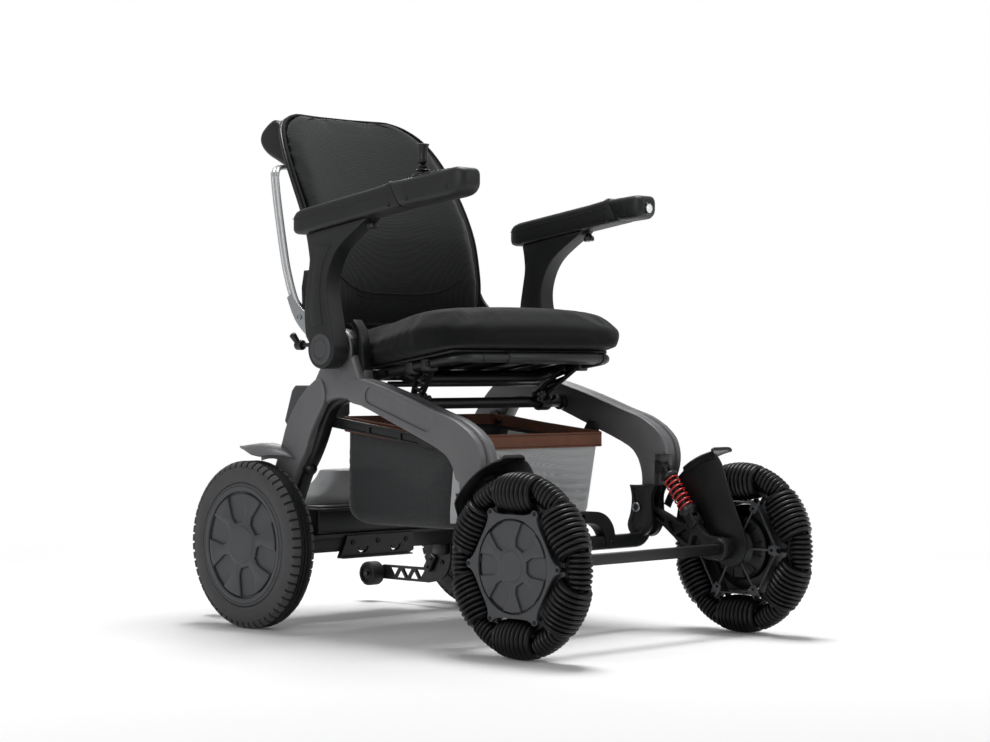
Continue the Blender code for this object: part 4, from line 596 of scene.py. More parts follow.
def make_front_wheel(tag, side):
    body = f"front_wheel_{tag}"
    out = X_AXIS * side
    middle = at(side * FRONT_TRACK, 0, WHEEL_RADIUS)
    place = face_of(side, FRONT_TRACK, 0)
    make_rollers(tag, side)

    plates = bmesh.new()
    opening = round_loop([(0.0800, a) for a in range(0, 360, 5)])
    slab(plates, [hex_outline(), opening], 0.0160, 0.0215, 0.0009, 2, place)
    make_hub_cap(plates, side, FRONT_TRACK, 0, 0.0770, 0.0172, 0.0056, 0, 0.0265)
    piece(f"hub_face_{tag}", plates, HUB_GREY, body, f"front_hub_{tag}", 28)

    hexagon, brackets = bmesh.new(), bmesh.new()
    rims = [round_loop([(radius, 60 * k) for k in range(6)]) for radius in (0.0975, 0.0945)]
    slab(hexagon, rims, -0.0205, -0.0165, 0.0, 1, place)
    tab = [(0.0785, 5.2), (0.0770, 0), (0.0785, -5.2), (0.0885, -6.2), (0.0970, -5.0)]
    tab += [(0.1040, -4.0), (0.1075, 0), (0.1040, 4.0), (0.0970, 5.0), (0.0885, 6.2)]
    horn = mirrored(mm("112 32.5, 141 32.5, 141 35.8, 110.5 35.8, 107 31, 107 4, 94 4"))
    for angle in range(0, 360, 60):
        outward, _ = spoke(angle)
        stem = [middle + outward * 0.020 - out * 0.0230, middle + outward * 0.082 - out * 0.0195]
        pipe(hexagon, stem, 0.0021, 8)
        slab(hexagon, [round_loop([(r, a + angle) for r, a in tab])], -0.0228, -0.0203, 0.0006, 2, place)
        cos, sin = unit(angle)
        loop = [(-u * cos + t * sin, u * sin + t * cos) for u, t in horn]
        slab(brackets, [loop], -0.0065, 0.0065, 0.0007, 2, place)
        outward, around = spoke(30 + angle)
        pipe(
            brackets, [middle + outward * ROLLER_ORBIT + around * end for end in (-0.050, 0.050)], 0.0036, 10
        )
    piece(f"hub_frame_{tag}", hexagon, HUB_GREY, body, sharp=28)
    slab(brackets, rims, -0.0163, 0.0160, 0.0, 1, place)
    piece(f"roller_brackets_{tag}", brackets, BLACK_COAT, body, sharp=28, slot="wheel_grey")

    drum = bmesh.new()
    profile = mm("0 16, 79 16, 79 11, 60 7, 59 -6, 54 -11, 36 -15, 29 -21, 24 -26, 17 -29, 9.8 -34")
    stub = -(FRONT_TRACK - SUSPENSION_X + 0.013)
    turned(drum, [*profile, (0.0098, stub), (0, stub)], middle, out, 48)
    for k in range(12):
        outward, around = spoke(30 * k + 15)
        turn = Matrix((out, around, outward)).transposed().to_quaternion()
        block(drum, middle + outward * 0.046 - out * 0.009, (0.012, 0.0018, 0.018), 0, turn=turn)
    piece(f"hub_motor_{tag}", drum, ABS_DARK, body, sharp=28, slot="wheel_grey")

    bolts = bmesh.new()
    for angle in range(0, 360, 60):
        outward, _ = spoke(angle)
        bolt(bolts, middle + outward * 0.1035 + out * 0.0205, out, 0.0036, 0.0018)
        bolt(bolts, middle + outward * 0.1025 - out * 0.0228, -out, 0.0050, 0.0030)
        bolt(bolts, middle + outward * 0.0850 - out * 0.0228, -out, 0.0026, 0.0012)
    piece(f"hub_bolts_{tag}", bolts, BOLT_BLACK, body, sharp=28, slot="wheel_grey")


# How much wider the tyre is than its outline, whose widths are for a tyre of 37 mm.
TYRE_SPREAD = 1.38
SHOULDER_BLOCKS = 56


def make_rear_tyre(tag, side):
    """A tyre with a plain side wall, two grooves round it and a row of blocks on each shoulder."""
    body = f"rear_wheel_{tag}"
    middle = at(side * REAR_TRACK, REAR_AXLE, WHEEL_RADIUS)
    out = X_AXIS * side
    core = bmesh.new()
    line = mm(
        "116.3 13.5, 118 17.2, 125 18.4, 140 17.8, 145.5 16.6, 148.2 14.8, 150.5 12.2, 152 10, 154.5 8.5, "
        "154.5 7.2, 157 6.6, 157 4.2, 154.2 3.6, 154.2 2.2, 156.8 1.6, 157 0"
    )
    line += [(r, -w) for r, w in line[-2::-1]]
    turned(core, [(r, w * TYRE_SPREAD) for r, w in line + [line[0]]], middle, out, 132)
    piece(f"tyre_core_{tag}", core, TREAD_BLACK, body, f"rear_tyre_{tag}", 40)

    wall = bmesh.new()
    side_line = mm("116.8 17.4, 125 18.8, 140 18.4, 145 17.6, 146 15")
    lug = mm("144.5 15, 145.5 18.1, 150 17.6, 154.8 14, 157 10.5, 157 9, 153 9")
    for way in (1, -1):
        turned(wall, [(r, way * w * TYRE_SPREAD) for r, w in side_line], middle, out, 132)
    for way, shift in ((1, 0), (-1, 0.5)):
        for k in range(SHOULDER_BLOCKS):
            outward, _ = spoke(360 * (k + shift) / SHOULDER_BLOCKS)
            corners = [middle + outward * r + out * TYRE_SPREAD * way * w for r, w in lug]
            face = wall.faces.new([wall.verts.new(corner) for corner in corners])
            angle = math.radians(360 / SHOULDER_BLOCKS * 0.72)
            bmesh.ops.spin(wall, geom=[face], cent=middle, axis=X_AXIS, angle=angle, steps=2)
    piece(f"tyre_blocks_{tag}", wall, TYRE_BLACK, body, sharp=30, merge=False)


def make_rear_wheel(tag, side):
    make_rear_tyre(tag, side)
    cap = bmesh.new()
    profile = mm(
        "0 18, 99.5 18, 100.4 24.5, 102.5 26.4, 109 26.4, 109.5 25, 110.3 25, 110.8 26.2, 114 25.4, "
        "115.8 23.5, 116.5 19, 116.5 -20, 112 -18, 70 -28, 30 -30, 9.8 -30, 9.8 -60, 0 -60"
    )
    turned(cap, profile, at(side * REAR_TRACK, REAR_AXLE, WHEEL_RADIUS), X_AXIS * side, 96)
    make_hub_cap(cap, side, REAR_TRACK, REAR_AXLE, 0.0970, 0.0206, 0.0060, 42, 0.0345)
    piece(f"rear_hub_cap_{tag}", cap, HUB_GREY, f"rear_wheel_{tag}", f"rear_hub_{tag}", 28)


for tag, side in SIDES:
    make_front_wheel(tag, side)
    make_rear_wheel(tag, side)


# The side frames and the suspension


def swept(shape, path, section, up):
    """Adds a bar of a given section along a path. The section's second direction leans towards up."""
    rows = []
    last = len(path) - 1
    for i, point in enumerate(path):
        ahead = (path[min(i + 1, last)] - path[max(i - 1, 0)]).normalized()
        side = ahead.cross(up).normalized()
        rise = side.cross(ahead)
        rows.append([point + side * u + rise * v for u, v in section])
    loft(shape, rows, closed=True, caps=True)


def cross_plate(x, z, depth):
    """Places a plate that faces forward: its values are x, height and station."""
    return at(x, depth, z)


ARCH = smooth_line(
    mm(
        "186 268, 188 295, 202.5 326, 236 347.5, 340 386, 434 419.5, 490 431, 533 425.5, 557 401, 575 366, "
        "590 332, 612 300, 645 240"
    ),
    3,
)
LEG_REAR = smooth_line(mm("702 250, 686 285, 671 316, 656 350, 642 384, 612 426, 572 462"), 3)
BEAM_TOP = smooth_line(mm("444 468, 405 460.5, 320 437, 243 412, 193 397, 158 379"), 3)
NOSE = smooth_line(mm("158 379, 134 357, 124 327, 128 296, 143 268"), 3)[1:]


def make_side_frame(tag, side):
    foot = arc((REAR_AXLE, WHEEL_RADIUS), 0.032, 170, 370, 16)
    head = arc(PIVOT, 0.038, -15, 190, 16)
    out = X_AXIS * side
    core = bmesh.new()
    outline = ARCH + foot + LEG_REAR + head + BEAM_TOP + NOSE
    panel(core, side, [outline], FRAME_INNER + 0.0126, FRAME_OUTER - 0.0035, 0.0065)
    outline = ARCH + foot + LEG_REAR + mm("552 484, 446 484") + BEAM_TOP + NOSE[:6] + mm("154 327, 154 268")
    panel(core, side, [outline], FRAME_INNER, FRAME_INNER + 0.020, 0.003, 2)
    turned(core, mm("0 30, 7.8 30, 7.8 -34, 0 -34"), at(side * (FRAME_OUTER - 0.003), *PIVOT), out, 20)

    beam = bmesh.new()
    near, far = mm("408 437.5, 262 389")
    lean = math.degrees(math.atan2(near[1] - far[1], near[0] - far[0]))
    capsule = arc(near, 0.0150, lean - 90, lean + 90, 10) + arc(far, 0.0135, lean + 90, lean + 270, 10)
    outline = ARCH[3:16] + arc((0.452, 0.4455), 0.0225, -80, 75, 8) + BEAM_TOP[1:] + NOSE
    panel(beam, side, [outline, capsule], FRAME_OUTER - 0.018, FRAME_OUTER + 0.0016, 0.0055)
    panel(beam, side, [capsule], FRAME_OUTER - 0.016, FRAME_OUTER - 0.0016)

    leg = bmesh.new()
    outline = smooth_line(mm("645 240, 612 299, 590 332, 575 366, 553.5 399, 538 420"), 3)
    outline += smooth_line(mm("538 420, 533.5 438, 538.5 458, 550 468, 562 466"), 4)[1:]
    outline += LEG_REAR[::-1][1:] + foot[::-1]
    panel(leg, side, [outline], FRAME_OUTER - 0.016, FRAME_OUTER + 0.0022, 0.0045)
    boss = at(side * (FRAME_OUTER + 0.001), REAR_AXLE, WHEEL_RADIUS)
    turned(leg, mm("0 4, 24 4, 26 2, 26 -4, 0 -4"), boss, out, 36)

    # Each row of the rear mudguard: angle from straight behind, radius, width and how far its tip drops.
    guard = bmesh.new()
    line = [(119, 0.1830, 0.0, 0.0), (113, 0.1868, 0.018, 0.004), (107, 0.1895, 0.036, 0.013)]
    line += [(101, 0.1908, 0.047, 0.021), (95, 0.1908, 0.052, 0.020), (89, 0.1895, 0.0525, 0.011)]
    line += [(84, 0.1880, 0.050, 0.004), (80.5, 0.1868, 0.042, 0.0)]
    skirt = mm("-7.5 -30, -7 -12, -5.5 -3, -2 0")
    rows = []
    for angle, radius, width, drop in line:
        cos, sin = unit(angle)
        wing = [(share * width, -drop * share**3) for share in (0.12, 0.3, 0.5, 0.68, 0.82, 0.92, 1.0)]
        row = []
        for reach, fall in skirt + wing:
            spot = at(
                side * (FRAME_OUTER + reach),
                REAR_AXLE + (radius + fall) * cos,
                WHEEL_RADIUS + (radius + fall) * sin,
            )
            row.append(spot)
        rows.append(row)
    loft(guard, rows)
    bmesh.ops.solidify(guard, geom=guard.faces[:], thickness=0.003)

    lining = bmesh.new()
    inside = FRAME_INNER + 0.0004
    outline = smooth_line(
        mm("470 430.5, 505 424, 534 411, 552 386, 568 352, 588 318, 612 284, 640 226, 652 196"), 3
    )
    outline += mm("690 196, 668 240, 630 300, 606 340, 584 390, 560 430, 500 446, 470 440")
    panel(lining, side, [outline], inside, FRAME_INNER + 0.024, 0.003, 2)
    bump = at(side * (FRAME_INNER + 0.014), 0.606, 0.300)
    turned(lining, mm("0 12, 6 11.5, 11 8, 12.5 3, 12.5 -12, 0 -12"), bump, (0, -0.86, -0.5), 28)
    strut = mm("449 470, 461.5 470, 462.5 500, 463 530, 470 552, 485 568, 476 576, 460 558, 451 530, 448 500")
    panel(lining, side, [strut], inside, FRAME_INNER + 0.022, 0.0015, 2)
    cover = arc(PIVOT, 0.0410, 152, 232, 12) + mm("470 480, 449 471.5, 452 469, 474 480")
    cover += arc(PIVOT, 0.0385, 232, 152, 12)
    panel(lining, side, [cover], inside, FRAME_OUTER - 0.004, 0.0008, 1)

    lug = bmesh.new()
    outline = arc(SHOCK_TOP, 0.0085, 90, 270, 12) + mm("165 290, 165 317")
    panel(lug, side, [outline], SUSPENSION_X - 0.004, SUSPENSION_X + 0.004, 0.0008, 2)
    pin = mm("0 11.5, 6.2 11.5, 6.8 10.8, 6.8 9, 3.8 9, 3.8 -9, 6.8 -9, 6.8 -11.5, 0 -11.5")
    turned(lug, pin, at(side * SUSPENSION_X, *SHOCK_TOP), X_AXIS, 20)
    piece(f"frame_casting_{tag}", core, GREY_COAT, "chassis", f"side_frame_{tag}")
    piece(f"frame_beam_face_{tag}", beam, GREY_COAT, "chassis")
    piece(f"frame_leg_face_{tag}", leg, GREY_COAT, "chassis")
    piece(f"rear_mudguard_{tag}", guard, GREY_COAT, "chassis", sharp=50)
    piece(f"frame_lining_{tag}", lining, ABS_DARK, "chassis")
    piece(f"shock_lug_{tag}", lug, BLACK_COAT, "chassis", slot="grey_paint")


def make_front_cradle():
    shape = bmesh.new()
    corner = arc((-SUSPENSION_X + 0.030, 0.196), 0.030, 180, 270, 6)
    path = [at(-SUSPENSION_X, 0.183, 0.212)] + [at(x, 0.183, z) for x, z in corner]
    path += [Vector((-p.x, p.y, p.z)) for p in path[::-1]]
    swept(shape, path, rounded_section(0.0095, 0.0130, 0.004), Vector((0.001, 0, 1)))
    leg = smooth_line(
        mm(
            "143 267.7, 152 250, 152 228, 151 205, 160 184, 174 173, 196 173, 208 193, 201 217, 198 245, "
            "203 267.7"
        ),
        3,
    )
    rim = [(0.1715 + (s - 0.1715) * 1.06, 0.222 + (z - 0.222) * 1.02) for s, z in leg]
    hollow = [(0.1725 + (s - 0.1725) * 0.80, 0.222 + (z - 0.222) * 0.88) for s, z in leg]
    back = smooth_line(mm("196 173, 208 193, 201 217, 198 245, 203 267.7"), 3)
    strip = back + [(s - 0.006, z) for s, z in back[::-1]]
    for _, side in SIDES:
        centre = side * SUSPENSION_X
        for way in (-1, 1):
            slab(shape, [leg], centre + way * 0.0125 - 0.0045, centre + way * 0.0125 + 0.0045, 0.0015, 2)
            slab(shape, [rim, hollow], centre + way * 0.0170, centre + way * 0.0188, 0.0006, 2)
        slab(shape, [strip], centre - 0.010, centre + 0.010)
        turned(shape, mm("0 22.5, 5.8 22.5, 5.8 -22.5, 0 -22.5"), at(centre, *SWING_PIN), X_AXIS, 20)
    piece("front_cradle_bar_and_legs", shape, BLACK_COAT, "chassis", "front_cradle")

    bracket = bmesh.new()
    inner = smooth_line(mm("-132 156, -110 156, -108 170, -100 186, -86 198, -66 203.5, 0 205"), 3)
    outer = smooth_line(mm("132 156, 131.5 180, 125 199, 111 214, 92 222.5, 66 225, 0 225"), 3)
    outline = inner + [(-x, z) for x, z in inner[::-1]] + outer + [(-x, z) for x, z in outer[::-1]][1:]
    holes = [arc((x, 0.2145), 0.006, 0, 337.5, 15) for x in (-0.045, 0.045)]
    slab(bracket, [outline, *holes], 0.171, 0.195, 0.0020, 2, cross_plate)
    for x in (-0.121, 0.121):
        bolt(bracket, at(x, 0.171, 0.166), -Y_AXIS, 0.0045, 0.003)
    piece("cradle_bracket", bracket, BLACK_COAT, "chassis")

    rings = bmesh.new()
    for _, side in SIDES:
        for way in (-1, 1):
            spot = at(side * SUSPENSION_X + way * 0.0190, *SWING_PIN)
            turned(rings, mm("5.6 0, 5.6 2.8, 6.4 3.4, 8.8 3.4, 9.4 2.6, 9.4 0"), spot, X_AXIS * way, 28)
    piece("pivot_washers", rings, STEEL, "chassis")


def make_front_axle():
    beam = bmesh.new()
    block(beam, at(0, 0, WHEEL_RADIUS), (2 * (SUSPENSION_X - 0.002), 0.019, 0.019), 0.0022, 3)
    piece("axle_beam", beam, BLACK_COAT, "swing_axle", "front_axle")
    outline = arc(SWING_PIN, 0.0125, -50, 110, 12)
    outline += smooth_line(mm("170 236.5, 150 226, 122 215, 100 205.5, 78 200"), 2)
    outline += arc(SHOCK_FOOT, 0.0115, 20, 190, 12) + smooth_line(mm("46 196, 30 182, 12 178.5"), 2)
    outline += arc((0, WHEEL_RADIUS), 0.0215, 88, 280, 16)
    outline += smooth_line(mm("30 138.5, 62 149, 100 170, 150 206, 180 215.5"), 2)
    holes = [
        mm("30 151, 34 163, 52 180, 60 178, 65 163, 60 156"),
        mm("73 163, 68 186, 74 190, 82 190, 101 178"),
        mm("86 194, 100 198.5, 118 205, 122 200, 109 183"),
        mm("130 199, 127 207, 150 218, 162 220, 160 215"),
    ]
    web = arc(SWING_PIN, 0.010, -50, 110, 6) + mm("100 203.5, 60 200, 10 170, 10 145, 100 173, 150 209")
    pin = mm(
        "0 11.8, 5 11.8, 6.2 10.8, 8.5 10.5, 8.8 8.5, 8.8 7.8, 3.8 7.8, 3.8 -7.8, 8.8 -7.8, 8.8 -10.5, 0 -11"
    )
    for tag, side in SIDES:
        arm = bmesh.new()
        panel(arm, side, [outline, *holes], SUSPENSION_X - 0.007, SUSPENSION_X + 0.007, 0.0012, 2)
        panel(arm, side, [web], SUSPENSION_X + 0.0035, SUSPENSION_X + 0.0045)
        centre, inward = at(side * SUSPENSION_X, 0, WHEEL_RADIUS), X_AXIS * -side
        turned(arm, pin, at(side * SUSPENSION_X, *SHOCK_FOOT), inward, 24)
        turned(arm, mm("10.5 10, 18.5 10, 20 8.5, 20 -8.5, 10.5 -8.5"), centre, inward, 36)
        bolt(arm, centre + inward * 0.0100, inward, 0.0085, 0.004, 6)
        piece(f"swing_arm_{tag}", arm, BLACK_COAT, "swing_axle")


# Below this angle the front mudguard stays clear of the side frame when the axle drops.
GUARD_CLEAR_ANGLE = 54
# The mudguard's inner edge and its outer radius.
GUARD_INNER, GUARD_RADIUS = 0.2478, 0.1812


def make_front_mudguard(tag, side):
    wall = bmesh.new()
    outline = arc((0, WHEEL_RADIUS), 0.1785, GUARD_CLEAR_ANGLE, 79, 10)
    outline += smooth_line(mm("27 329, 14 312, 2 282, -12 246, -28 212, -40 188"), 4)
    outline += arc((-0.004, 0.165), 0.041, 150, 285, 14)
    outline += smooth_line(mm("20 131, 52 148, 92 176, 124 199"), 3)
    panel(wall, side, [outline], GUARD_INNER, GUARD_INNER + 0.0030, 0.0009, 2)
    section = mm("247.8 15, 248 6, 249.4 2.4, 252.5 0.5, 257 0, 275 0, 292 0, 299.5 0.6, 303 2.8")
    rows = []
    for angle in range(24, 80, 3):
        cos, sin = unit(angle)
        taper = 0.55 + 0.45 * (angle - 24) / 10 if angle < 34 else 1.0
        row = []
        for x, drop in section:
            wide = GUARD_INNER + (x - GUARD_INNER) * taper
            if angle < GUARD_CLEAR_ANGLE:
                wide = max(wide, FRAME_OUTER + 0.0042)
            radius = GUARD_RADIUS - drop
            row.append(at(side * wide, radius * cos, WHEEL_RADIUS + radius * sin))
        rows.append(row)
    end = rows[-1]
    for curl in range(1, 8):
        turn = math.radians(curl * 32)
        rows.append([p + Vector((0, -0.0036 * math.sin(turn), 0.0036 * (1 - math.cos(turn)))) for p in end])
    blade = bmesh.new()
    loft(blade, rows)
    thicken(blade, 0.0018)
    piece(f"mudguard_blade_{tag}", blade, ABS_DARK, "swing_axle", sharp=40)
    disc = at(side * 0.2440, 0, WHEEL_RADIUS)
    turned(wall, mm("11 -8.5, 18.5 -8.5, 19.5 -6, 19.5 4, 11 4"), disc, X_AXIS * side, 32)
    piece(f"mudguard_shell_{tag}", wall, ABS_DARK, "swing_axle", f"front_fender_{tag}", 40)


def make_shock(tag, side):
    top, foot = at(side * SUSPENSION_X, *SHOCK_TOP), at(side * SUSPENSION_X, *SHOCK_FOOT)
    down = (foot - top).normalized()
    length = (foot - top).length
    across = down.cross(X_AXIS)
    turn = Matrix((X_AXIS, across, down)).transposed().to_quaternion()

    body = bmesh.new()
    for way in (-1, 1):
        block(body, top + down * 0.0060 + X_AXIS * way * 0.0066, (0.0045, 0.017, 0.030), 0.0016, turn=turn)
    ribs = mm("0 15, 12 15, 15 16.2, 16.4 18.5, 16.4 23.8, 15.6 25.8, 10 26.2")
    for k in range(12):
        low = 0.0270 + k * 0.0038
        ribs += [(0.0093, low), (0.0093, low + 0.0012), (0.0108, low + 0.0016), (0.0108, low + 0.0032)]
    turned(body, ribs + mm("9.3 73.8, 9 75, 0 75"), top, down, 28)
    piece(f"damper_body_{tag}", body, ABS_DARK, f"shock_body_{tag}", f"shock_body_{tag}", 50)

    rod = bmesh.new()
    seat = length - 0.030
    line = [(0, 0.050), (0.0046, 0.050), (0.0046, seat - 0.012), (0.0085, seat - 0.0105)]
    line += [(0.0085, seat - 0.001), (0.0164, seat), (0.0164, seat + 0.0072), (0.0150, seat + 0.0082)]
    line.append((0.0135, seat + 0.0120))
    turned(rod, line + [(0.0105, seat + 0.0150), (0, seat + 0.0150)], top, down, 28)
    for way in (-1, 1):
        centre = top + down * (length - 0.0075) + X_AXIS * way * 0.0097
        block(rod, centre, (0.0036, 0.019, 0.034), 0.0014, turn=turn)
    part = f"shock_rod_{tag}"
    piece(f"damper_foot_{tag}", rod, BLACK_COAT, part, part, slot="bright_metal")

    spring = bmesh.new()
    start, end = 0.0285, seat - 0.0022
    turns, steps = 7, 168
    path = []
    for k in range(steps + 1):
        share = k / steps
        angle = 2 * math.pi * turns * share
        height = start + (end - start) * clamp((share - 0.05) / 0.90)
        path.append(top + down * height + (X_AXIS * math.cos(angle) + across * math.sin(angle)) * 0.0137)
    pipe(spring, path, 0.0018, 10)
    coil = piece(f"coil_{tag}", spring, SPRING_ENAMEL, None, f"shock_spring_{tag}", 60)
    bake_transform(coil)


make_front_cradle()
make_front_axle()
for tag, side in SIDES:
    make_side_frame(tag, side)
    make_front_mudguard(tag, side)
    make_shock(tag, side)


# The seat

SEAT_TILT = math.radians(8.5)
SEAT_TURN = Matrix.Rotation(-SEAT_TILT, 4, "X").to_quaternion()


def seat_spot(x, along, up):
    """A point in the seat's own tilted frame, from its front underside."""
    flat = along * math.cos(SEAT_TILT) + up * math.sin(SEAT_TILT)
    return at(x, 0.228 + flat, 0.527 - along * math.sin(SEAT_TILT) + up * math.cos(SEAT_TILT))


def evaluated(obj):
    """The mesh that an object's modifiers give."""
    return bpy.data.meshes.new_from_object(obj.evaluated_get(bpy.context.evaluated_depsgraph_get()))


# The cloth simulation that swells the cushion and the pad.
PRESSURE, MOMENTS = 4.0, 20


def plump(name, shape, voxel, cap, pinned, smoothing):
    """Swells a padded form with a cloth simulation. The pinned points stay, the rest move up to the cap."""
    mesh = bpy.data.meshes.new(name)
    shape.to_mesh(mesh)
    shape.free()
    obj = placed(name, mesh)
    scene = bpy.context.scene
    remesh = obj.modifiers.new("Remesh", "REMESH")
    remesh.mode = "VOXEL"
    remesh.voxel_size = voxel
    scene.view_layers[0].update()
    even = evaluated(obj)
    obj.modifiers.clear()
    obj.data = even
    start = [v.co.copy() for v in even.vertices]
    group = obj.vertex_groups.new(name="held")
    group.add([i for i, co in enumerate(start) if pinned(co)], 1.0, "REPLACE")
    cloth = obj.modifiers.new("Cloth", "CLOTH")
    cloth.settings.vertex_group_mass = "held"
    cloth.settings.use_pressure = True
    cloth.settings.uniform_pressure_force = PRESSURE
    cloth.settings.effector_weights.gravity = 0.0
    cloth.settings.quality = 4
    cloth.point_cache.frame_start = 1
    cloth.point_cache.frame_end = MOMENTS
    for moment in range(1, MOMENTS + 1):
        scene.frame_set(moment)
    swollen = evaluated(obj)
    for vert, before in zip(swollen.vertices, start):
        move = vert.co - before
        if move.length > cap:
            vert.co = before + move * (cap / move.length)
    obj.modifiers.clear()
    obj.data = swollen
    scene.frame_set(1)
    final = bmesh.new()
    final.from_mesh(obj.data)
    bpy.data.objects.remove(obj)
    axes = {"use_axis_x": True, "use_axis_y": True, "use_axis_z": True}
    for _ in range(smoothing):
        bmesh.ops.smooth_vert(final, verts=final.verts, factor=0.5, **axes)
    return final


def padded_piece(name, shape, look, body, node):
    """A padded piece with a live subdivision."""
    obj = piece(name, shape, look, body, node, 80)
    finer = obj.modifiers.new("Subdivision", "SUBSURF")
    finer.levels = 1
    finer.render_levels = 1


def gridded_cube(cuts):
    """A cube of 2 m with a grid on each face."""
    shape = bmesh.new()
    bmesh.ops.create_cube(shape, size=2)
    bmesh.ops.subdivide_edges(shape, edges=shape.edges, cuts=cuts, use_grid_fill=True)
    return shape


def make_seat_cushion():
    shape = gridded_cube(15)
    for vert in shape.verts:
        a, b, c = vert.co
        reach = max(abs(a), abs(b))
        if reach > 0:
            squircle = 1 / ((abs(a) / reach) ** 7 + (abs(b) / reach) ** 7) ** (1 / 7)
            a, b = a * squircle, b * squircle
        flare = 0.033 * clamp((0.25 - b) / 0.75)
        tuck = 1 - 0.035 * max(0.0, 0.35 - c) ** 2
        along = (b * tuck * 0.985 + 1) / 2 * 0.392 - 0.017
        fall = max(0.0, (-b - 0.15) / 0.85)
        height = 0.078 - 0.013 * fall**2.2 - 0.010 * max(0.0, b) ** 2
        shoulder = max(0.0, (reach - 0.76) / 0.24)
        top = height - 0.026 * (1 - math.sqrt(max(0.0, 1 - shoulder**2))) - 0.008 * a * a
        vert.co = seat_spot(a * (0.2165 + flare) * tuck, along, 0.0015 + (c + 1) / 2 * (top - 0.0015))

    def rests(co):
        return (co - seat_spot(0, 0, 0)).dot(Vector((0, 0.148, 0.989))) < 0.006

    cushion = plump("cushion", shape, 0.006, 0.007, rests, 4)
    padded_piece("seat_cushion_cover", cushion, SEAT_CLOTH, "chassis", "seat_cushion")


RAIL_UP = -0.0186
RAIL_RADIUS = 0.0096


def make_seat_frame():
    shape = bmesh.new()
    rail = [seat_spot(x, along, RAIL_UP) for x, along in mm("-200 236, -200 16, 200 16, 200 236")]
    pipe(shape, rounded_path(rail, 0.040), RAIL_RADIUS, 16)
    pipe(shape, [seat_spot(x, 0.235, RAIL_UP) for x in (-0.2214, 0.2214)], RAIL_RADIUS, 16)
    lower = [at(*p) for p in mm("-199 402 479, -172 408 468.5, 172 408 468.5, 199 402 479")]
    pipe(shape, rounded_path(lower, 0.018), RAIL_RADIUS, 16)
    pipe(shape, [at(-0.196, 0.432, 0.458), at(0.196, 0.432, 0.458)], 0.0055, 12)
    piece("seat_rails", shape, BLACK_COAT, "chassis", "seat_frame")

    sleeve = bmesh.new()
    for stations, radii in (
        ((-0.086, -0.085, -0.084, 0.150, 0.151, 0.152), [0.0098, 0.0113, 0.0118, 0.0118, 0.0113, 0.0098]),
        ((-0.150, -0.1495, -0.1475, -0.147), [0.0096, 0.0108, 0.0108, 0.0096]),
        ((0.166, 0.1665, 0.1755, 0.176), [0.0096, 0.0108, 0.0108, 0.0096]),
    ):
        pipe(sleeve, [seat_spot(x, 0.016, RAIL_UP) for x in stations], radii, 20)
    piece("front_rail_sleeve", sleeve, ABS_DARK, "chassis")

    truss = bmesh.new()
    ring = mirrored(mm("10.6 -13, 15 -13, 15.8 -12"))
    knob = mm("0 12, 4.2 11.5, 5.2 9, 5.2 0, 3.2 -2, 3.2 -12, 0 -12")
    for _, side in SIDES:
        foot = [at(side * 0.163, 0.378, 0.438), at(side * 0.163, 0.403, 0.439)]
        head = [seat_spot(side * 0.188, along, RAIL_UP - 0.006) for along in (0.098, 0.140)]
        for low, high in zip(foot, head):
            pipe(truss, [low, high], 0.0046, 8)
        for k in range(3):
            share, next_share = k / 3 + 0.04, (k + 1) / 3 + 0.02
            for one, other in ((0, 1), (1, 0)):
                brace = [foot[one].lerp(head[one], share), foot[other].lerp(head[other], next_share)]
                pipe(truss, brace, 0.0030, 6)
        for along in (0.098, 0.140):
            block(truss, seat_spot(side * 0.198, along, RAIL_UP - 0.001), (0.026, 0.020, 0.022), 0.003)
        block(truss, at(side * 0.165, 0.391, 0.4360), (0.028, 0.032, 0.012), 0.003)
        turned(truss, ring, at(side * 0.165, *CROSS_TUBE), X_AXIS, 28)
        for offset in (-0.006, 0.012):
            turned(truss, knob, at(side * (0.165 + offset), 0.372, 0.4300), (0, -0.92, 0.38), 16)
    centre = at(0.140, 0.374, 0.4330)
    for k in range(5):
        cos, sin = unit(72 * k)
        spot = centre + Vector((cos * 0.008, 0, sin * 0.008))
        turned(truss, mm("0 6, 4 5, 5.6 2, 5.6 -4, 0 -5"), spot, -Y_AXIS, 12)
    turned(truss, mm("0 7.5, 5 7.2, 6.5 5, 6.5 -12, 0 -12"), centre, -Y_AXIS, 18)
    piece("seat_trusses", truss, BLACK_COAT, "chassis")

    studs = bmesh.new()
    head = mm("0 1.2, 2 1.2, 2.4 3, 4.2 3, 4.8 1.8, 4.8 -1, 0 -1")
    for x, along in mm("-208.5 89, 208.5 89, -208.5 200, 208.5 200"):
        turned(studs, head, seat_spot(x, along, RAIL_UP), X_AXIS * math.copysign(1, x), 18)
    piece("rail_bolts", studs, BOLT_BLACK, "chassis")

    pan = bmesh.new()
    block(pan, seat_spot(0, 0.1825, -0.0043), (0.410, 0.305, 0.0072), 0.003, turn=SEAT_TURN)
    for x in (-0.12, -0.04, 0.04, 0.12):
        block(pan, seat_spot(x, 0.185, -0.0098), (0.010, 0.250, 0.0050), 0.002, turn=SEAT_TURN)
    block(pan, seat_spot(0, 0.046, -0.0100), (0.330, 0.012, 0.0060), 0.002, turn=SEAT_TURN)
    piece("seat_tray", pan, ABS_DARK, "chassis", "seat_pan", slot="grey_paint")

    tube = bmesh.new()
    pipe(tube, [at(x, *CROSS_TUBE) for x in (-0.2216, -0.205, 0.205, 0.2216)], 0.0103, 20)
    collar = mirrored(mm("10 -5.5, 14 -5.5, 15 -4.5"))
    for _, side in SIDES:
        turned(tube, collar, at(side * 0.2160, *CROSS_TUBE), X_AXIS, 28)
    piece("cross_tube", tube, BLACK_COAT, "chassis", "front_cross_tube")


# The backrest

